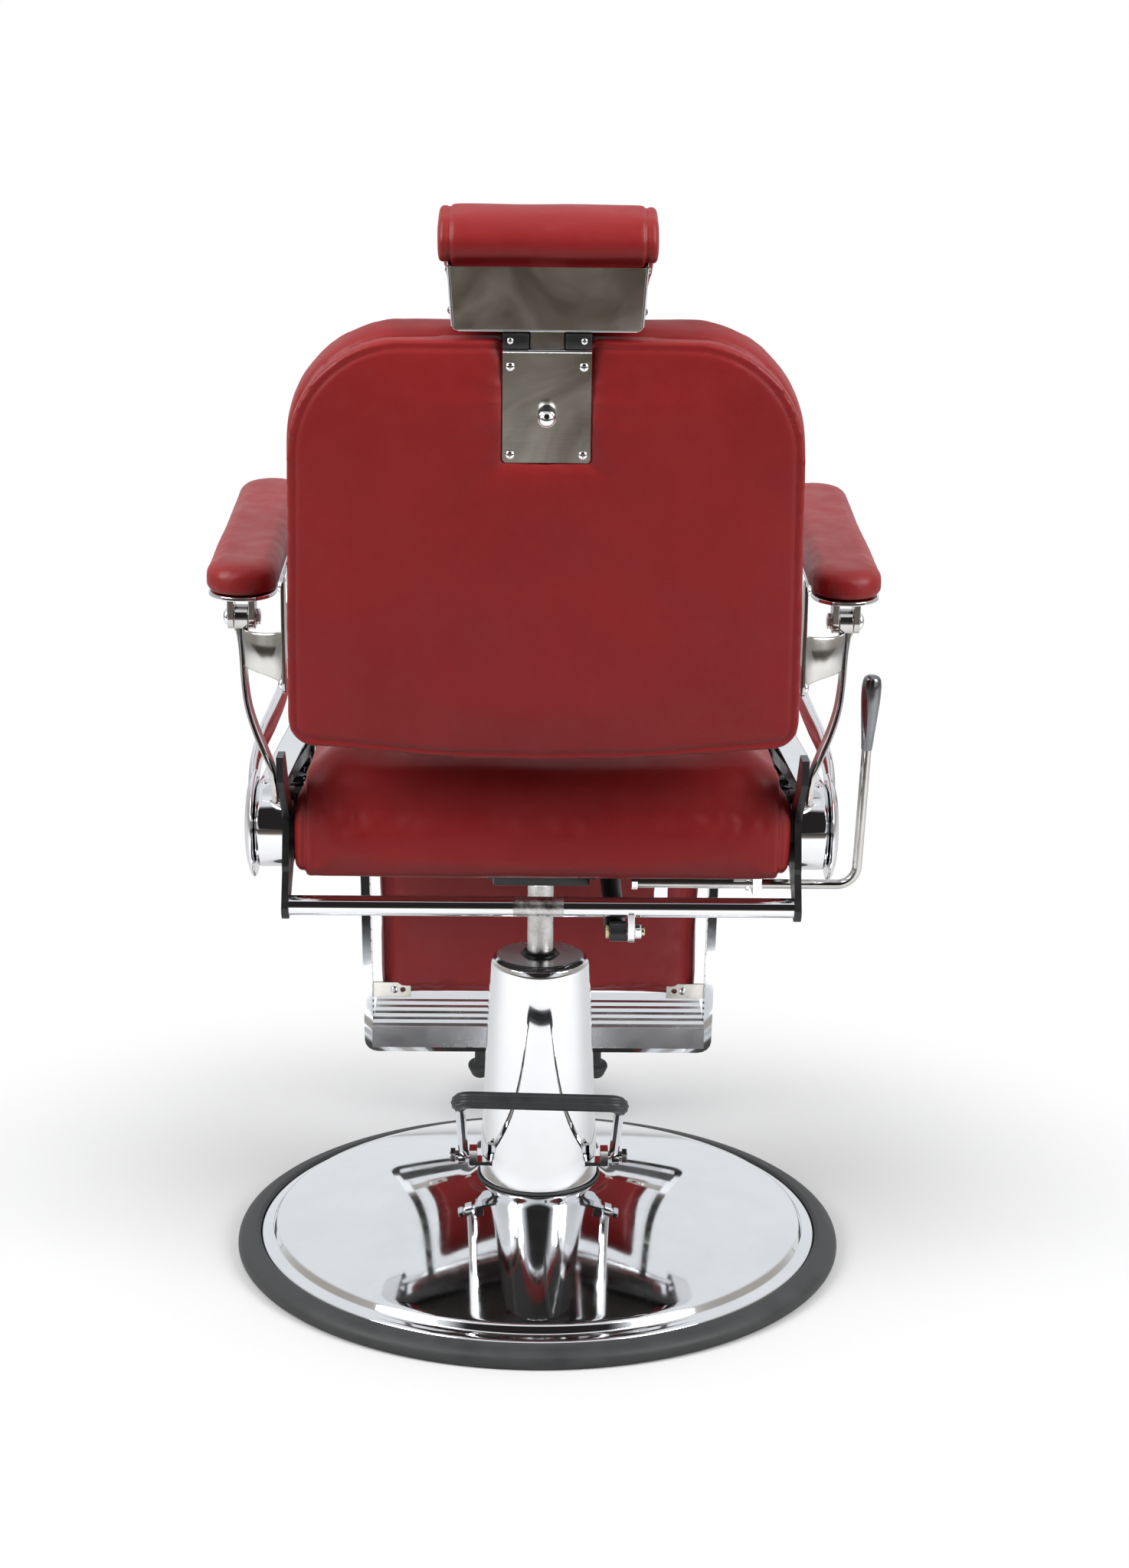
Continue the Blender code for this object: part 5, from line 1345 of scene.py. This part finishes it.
def make_headrest_metal():
    """The slide's post, its guide, the tray that holds the cushion, the cover plate and the release knob."""
    low_corner = CHANNEL_LOW + CHANNEL_CORNER
    wall = 0.0022
    rear = -0.0014
    outline = [
        *arc((CHANNEL_HALF_LOW - CHANNEL_CORNER, low_corner), CHANNEL_CORNER, -90, 0, 13),
        (CHANNEL_HALF_HIGH, CHANNEL_HIGH), (-CHANNEL_HALF_HIGH, CHANNEL_HIGH),
        *arc((-CHANNEL_HALF_LOW + CHANNEL_CORNER, low_corner), CHANNEL_CORNER, 180, 270, 13),
    ]
    middle = BACK_FRAME @ Matrix.Translation((0, 0, rear + wall / 2))
    tray = plate("headrest_channel_finish", [outline], wall, middle)
    done(bevel(tray, 0.0007, 2), STEEL, "headrest", ("headrest_channel",))
    for name, side in SIDES:
        rings = []
        edge = ((CHANNEL_HALF_LOW, low_corner), (CHANNEL_HALF_HIGH, CHANNEL_HIGH))
        for x, y in edge:
            out = x + FLANGE_SPLAY
            corners = ((x, rear), (out, FLANGE_DEPTH), (out - wall, FLANGE_DEPTH), (x - wall, rear))
            rings.append([Vector((side * px, y, pz)) for px, pz in corners])
        flange = loft(f"tray_flange_{name}", rings, BACK_FRAME)
        done(bevel(flange, 0.0006, 2), STEEL, "headrest")
        ends = [Vector((side * (x - 0.0002), y, rear + 0.0003)) for x, y in edge]
        bend = tube(f"tray_bend_{name}", ends, 0.0016, 5, BACK_FRAME)
        done(bend, CHROME, "headrest")
    lip = [Vector((x, CHANNEL_LOW + 0.0004, rear + 0.0003)) for x in (-0.0840, 0.0840)]
    done(tube("tray_lip", lip, 0.0010, 5, BACK_FRAME), CHROME, "headrest")
    refined("headrest_guide", BLACK, 0.0)
    refined("headrest_post", STEEL, 0.0)
    half = PLATE_HALF
    outline = [
        *arc((half - 0.004, PLATE_LOW + 0.004), 0.004, -90, 0, 9),
        (half, PLATE_HIGH), (-half, PLATE_HIGH),
        *arc((-half + 0.004, PLATE_LOW + 0.004), 0.004, 180, 270, 9),
    ]
    flat = BACK_FRAME @ Matrix.Translation((0, 0, -0.0012))
    cover = plate("headrest_plate_finish", [outline, circle((0, KNOB_HEIGHT), 0.0062)], 0.0018, flat)
    done(bevel(cover, 0.0005, 2), STEEL, "back", ("headrest_plate",))
    ends = [Vector((x, PLATE_HIGH, -0.0022)) for x in (-half + 0.0002, half - 0.0002)]
    done(tube("plate_lip", ends, 0.0018, 6, BACK_FRAME), CHROME, "back")
    make_knob()


BALL_RADIUS = 0.0089
BALL_CENTRE = 0.0165


def make_knob():
    """The ball on its stem, with a dark ring behind it."""
    rearward = BACK_FRAME @ Matrix.Translation((0, KNOB_HEIGHT, 0)) @ Matrix.Rotation(math.pi, 4, "X")
    ball = [(0.0052, -0.0004), (0.0052, 0.0085)]
    ball += [(BALL_RADIUS * math.sin(a), BALL_CENTRE - BALL_RADIUS * math.cos(a)) for a in turns(38, 180, 25)]
    profile = [(0.0, -0.0004), *ball[:-1], (0.0, BALL_CENTRE + BALL_RADIUS)]
    made = turned("release_knob_finish", list(reversed(profile)), closed=False, matrix=rearward, steps=64)
    done(made, CHROME, "release_knob", ("release_knob",), 60)
    ring = [(0.0053, 0.0049), (0.0078, 0.0049), (0.0084, 0.0042), (0.0084, 0.0028), (0.0053, 0.0028)]
    made = turned("knob_ring", ring, closed=True, matrix=rearward, steps=48)
    done(made, BLACK, "release_knob", (), 50)


def make_lever():
    """The recline lever: shaft, elbow, upright rod with a tapered grip, and its collars."""
    y, z = 0.100, 0.464
    start = Vector((-0.103, y, z))
    elbow = Vector((-0.346, y, z))
    top = Vector((-0.3555, 0.100, 0.690))
    path = round_corners([start, elbow, top], 0.022, 17)
    done(tube("recline_lever_finish", path, 0.0053, 10), CAST, "lever", ("recline_lever",), 60)
    for name, near, far, radius, sides in (
        ("lever_nut", -0.099, -0.106, 0.0075, 6),
        ("lever_collar", -0.2250, -0.2290, 0.0075, 48),
    ):
        made = rod(name, (near, y, z), (far, y, z), radius, sides=sides)
        done(bevel(made, 0.0006, 2), CHROME, "lever")
    finger = box("lever_finger", (-0.139, 0.0965, 0.4440), (-0.124, 0.1035, 0.4660))
    done(bevel(finger, 0.0010, 2), CHROME, "lever")
    foot = top.lerp(elbow, 0.33)
    length = (top - foot).length + 0.010
    profile = [
        (0.0, length), (0.0060, length - 0.0006), (0.0094, length - 0.0040), (0.0107, length - 0.0120),
        (0.0106, length - 0.0260), (0.0093, length - 0.0430), (0.0076, 0.0230), (0.0064, 0.0090),
        (0.0058, 0.0002), (0.0, 0.0002),
    ]
    turn = Matrix.Translation(foot) @ (top - elbow).to_track_quat("Z", "Y").to_matrix().to_4x4()
    grip = turned("lever_grip_finish", rounded(profile, 0.0050, 6), closed=False, matrix=turn, steps=64)
    done(grip, SMOKED, "lever", ("lever_grip",), 60)


STUDS = 16
STUD_PITCH = 0.0165


def make_footrest():
    """The footrest's shaft, bent frame, ribbed tread, brackets, studs and bumpers."""
    refined("footrest_shaft", CHROME, 0.0)
    refined("footrest_frame", CHROME, 0.0022, 4)
    done(copied("footrest_tread"), EXTRUSION, "footrest", ("footrest_tread",), 20)
    studs = []
    for name, side in SIDES:
        refined(f"pad_bracket_{name}", STEEL, 0.0004)
        make_bumper(name, side)
        for i in range(STUDS):
            place = FOOT_FRAME @ Vector((side * 0.2107, -0.050 - STUD_PITCH * i, -0.0105))
            studs.append((place, (-side, 0, 0)))
    screws("footrest_studs", studs, "footrest", 0.0015)


def make_bumper(name, side):
    """A rubber foot with a wide lip on its stem."""
    place = Matrix.Translation((side * 0.0745, -0.3955 - 0.0003, 0))
    turn = FOOT_FRAME @ place @ Matrix.Rotation(math.pi / 2, 4, "X")
    profile = [
        (0.0, 0.0469), (0.0100, 0.0449), (0.0157, 0.0310), (0.0149, 0.0276), (0.0069, 0.0262),
        (0.0069, 0.0002), (0.0, 0.0002),
    ]
    made = turned(f"bumper_{name}_finish", rounded(profile, 0.0030, 6), closed=False, matrix=turn, steps=64)
    done(made, RUBBER, "footrest", (f"bumper_{name}",), 50)


SCREW_HEIGHT = 0.62


def screw_shape():
    """A pan head of unit radius with a cross recess, standing on Z = 0."""
    tall = SCREW_HEIGHT
    profile = [(0.0, tall)]
    for i in range(1, 9):
        angle = math.pi / 2 * i / 8
        profile.append((math.sin(angle), tall * math.cos(angle) ** 0.8))
    profile += [(1.0, -0.06), (0.0, -0.06)]
    made = turned("screw_shape", profile, closed=False, steps=32)
    for wide, deep in ((0.50, 0.11), (0.11, 0.50)):
        made = cut(made, box("recess", (-wide, -deep, tall * 0.55), (wide, deep, tall * 1.4)))
    return made


def screws(name, places, body, radius, height=SCREW_HEIGHT):
    """Pan heads at (place, outward direction), as one piece."""
    heads = []
    for place, outward in places:
        head = link("head", SCREW.data.copy())
        turn = along(place, Vector(place) + Vector(outward))
        head.data.transform(turn @ Matrix.Diagonal((radius, radius, radius * height / SCREW_HEIGHT, 1.0)))
        heads.append(head)
    return done(merged(name, heads), CHROME, body)


def make_fixings():
    """The screws that show."""
    rearward = BACK_FRAME.to_3x3() @ Vector((0, 0, -1))
    places = []
    for x in (-0.0348, 0.0348):
        for y in (PLATE_LOW + 0.0078, PLATE_HIGH - 0.0148):
            places.append((BACK_FRAME @ Vector((x, y, -0.0021)), rearward))
    screws("plate_screws", places, "back", 0.0044)
    places = [(BACK_FRAME @ Vector((x, 0.4305, -0.0040)), rearward) for x in (-0.0348, 0.0348)]
    screws("guide_screws", places, "back", 0.0032)
    flange = []
    bolts = []
    drum = []
    pads = []
    splayed = BACK_FRAME.to_3x3()
    down = FOOT_FRAME.to_3x3() @ Vector((0, 0, -1))
    for _, side in SIDES:
        outward = Vector((side, 0, 0))
        for y in (CHANNEL_LOW + 0.0180, CHANNEL_HIGH - 0.0040):
            share = (y - CHANNEL_LOW) / (CHANNEL_HIGH - CHANNEL_LOW)
            x = CHANNEL_HALF_LOW + (CHANNEL_HALF_HIGH - CHANNEL_HALF_LOW) * share + 0.0009
            flange.append((BACK_FRAME @ Vector((side * x, y, 0.0045)), splayed @ Vector((side, 0, -0.8))))
        for y, z in ((0.3075, 0.7300), (0.3075, 0.8290)):
            bolts.append((Vector((side * 0.2612, y, z)), outward))
        for x in (0.2830, 0.2945):
            drum.append((Vector((side * x, PIVOT.y + 0.004, PIVOT.z + 0.0455)), (0, 0.09, 1.0)))
        pads.append((FOOT_FRAME @ Vector((side * 0.1830, -0.3070, -0.0066)), down))
    screws("flange_screws", flange, "headrest", 0.0036)
    screws("back_bolts", bolts, "back", 0.0060, 0.8)
    screws("drum_screws", drum, "seat", 0.0034)
    screws("pad_screws", pads, "footrest", 0.0048)


# ---------------------------------------------------------------- stage

# Behind the camera, from and to these depths, the floor has a painted reflection: it is dark to glossy rays only,
# so the chrome sees a dark floor.
PAINTED_REFLECTION_FROM = 1.7
PAINTED_REFLECTION_TO = 2.4
# Between these distances from the chair's middle the floor turns white to the camera.
WHITE_FROM = 0.38
WHITE_TO = 0.95


def make_stage():
    """A pale floor, white away from the chair. It has a painted reflection, a dark zone that only the chrome
    shows, and painted shade: it is dark to diffuse rays, so little light bounces up under the chair.
    """
    bpy.ops.mesh.primitive_plane_add(size=24.0, location=(0, 0, 0))
    floor = bpy.context.object
    floor.name = "studio_floor"
    made = Shader("pale_floor", Roughness=0.9, Specular_IOR_Level=0.1)
    path = made.node("LightPath").outputs
    depth = made.node("SeparateXYZ", {0: made.place}).outputs["Y"]
    # Painted reflection: beyond these depths, glossy rays see the floor dark brown.
    dark = made.product(made.rise(depth, PAINTED_REFLECTION_FROM, PAINTED_REFLECTION_TO), path["Is Glossy Ray"])
    shade = made.mixed(dark, (0.92, 0.92, 0.92, 1), (0.15, 0.125, 0.10, 1))
    # Painted shade: diffuse rays see the floor dark grey, so less bounced light reaches under the chair.
    made.to(made.mixed(path["Is Diffuse Ray"], shade, (0.12, 0.12, 0.12, 1)), "Base Color")
    distance = made.node("VectorMath", {0: made.place}, operation="LENGTH").outputs["Value"]
    seen = made.product(made.rise(distance, WHITE_FROM, WHITE_TO), path["Is Camera Ray"])
    glow = made.node("Emission", {"Color": (1, 1, 1, 1)}).outputs[0]
    blend = made.node("MixShader", {"Fac": seen, 1: made.surface.outputs[0], 2: glow}).outputs[0]
    made.tree.links.new(blend, made.tree.nodes["Material Output"].inputs["Surface"])
    floor.data.materials.append(made.material)


def make_world():
    """A bright room with greyer sides and a dark lobe for the chrome to show. The camera sees plain white."""
    world = bpy.data.worlds.new("studio_room")
    bpy.context.scene.world = world
    made = Graph(world)
    made.tree.nodes.clear()
    place = made.node("TexCoord").outputs["Generated"]
    toward = Vector((0.0, 0.89, 0.45)).normalized()
    lobe = made.node("VectorMath", {1: toward, 0: place}, operation="DOT_PRODUCT").outputs["Value"]
    room = made.mixed(made.rise(lobe, 0.78, 0.88), (0.92, 0.94, 0.97, 1), (0.022, 0.020, 0.020, 1))
    across = made.node("SeparateXYZ", {0: place}).outputs["X"]
    aside = made.node("Math", {0: across}, operation="ABSOLUTE").outputs[0]
    sides = made.mixed(made.rise(aside, 0.55, 0.95), room, (0.46, 0.43, 0.39, 1))
    path = made.node("LightPath").outputs
    dimmed = made.node("MapRange", {"To Min": 0.85, "To Max": 0.45, "Value": path["Is Diffuse Ray"]})
    lit = made.node("Background", {"Strength": dimmed.outputs["Result"], "Color": sides}).outputs[0]
    plain = made.node("Background", {"Color": (1, 1, 1, 1), "Strength": 1.0}).outputs[0]
    mix = made.node("MixShader", {"Fac": path["Is Camera Ray"], 1: lit, 2: plain}).outputs[0]
    made.node("OutputWorld", {"Surface": mix})


def make_lamp(name, place, target, size, power):
    """An area lamp that points at the target."""
    data = bpy.data.lights.new(name, "AREA")
    data.shape = "RECTANGLE"
    data.size = size[0]
    data.size_y = size[1]
    data.energy = power
    lamp = bpy.data.objects.new(name, data)
    bpy.context.scene.collection.objects.link(lamp)
    lamp.location = place
    lamp.rotation_euler = (Vector(target) - Vector(place)).to_track_quat("-Z", "Y").to_euler()
    return lamp


def make_camera():
    """The camera at the photograph's angle, turned, dipped and rolled about its own place."""
    level_reach = math.cos(CAMERA_DIP)
    forward = Vector(
        (math.sin(CAMERA_TURN) * level_reach, -math.cos(CAMERA_TURN) * level_reach, -math.sin(CAMERA_DIP))
    )
    level = Vector((-math.cos(CAMERA_TURN), -math.sin(CAMERA_TURN), 0.0))
    raised = level.cross(forward)
    right = level * math.cos(CAMERA_ROLL) + raised * math.sin(CAMERA_ROLL)
    up = raised * math.cos(CAMERA_ROLL) - level * math.sin(CAMERA_ROLL)
    data = bpy.data.cameras.new("camera")
    data.lens = CAMERA_LENS
    data.sensor_width = CAMERA_SENSOR
    camera = bpy.data.objects.new("camera", data)
    bpy.context.scene.collection.objects.link(camera)
    turn = Matrix((right, up, -forward)).transposed().to_4x4()
    camera.matrix_world = Matrix.Translation(CAMERA_PLACE) @ turn
    bpy.context.scene.camera = camera


def main():
    """Sets up the studio, then makes every piece."""
    bpy.context.scene.view_settings.view_transform = "Standard"
    make_camera()
    make_world()
    make_stage()
    make_lamp("soft_left", (2.6, 1.6, 2.6), (0, 0, 0.7), (1.6, 2.2), 93)
    make_lamp("soft_right", (-2.6, 1.8, 2.4), (0, 0, 0.7), (1.6, 2.2), 90)
    make_lamp("soft_top", (0, 0.9, 3.4), (0, 0, 0.5), (2.4, 2.4), 14).visible_glossy = False
    make_seat_cushion()
    make_back_panel()
    make_back_cushion()
    make_headrest_cushion()
    make_arm_pads()
    make_calf_pad()
    make_base()
    make_pedal()
    make_ram()
    make_side_boxes()
    make_swept_arms()
    make_rear_brackets()
    make_headrest_metal()
    make_lever()
    make_footrest()
    make_fixings()


SCREW = screw_shape()
main()
bpy.data.objects.remove(SCREW, do_unlink=True)
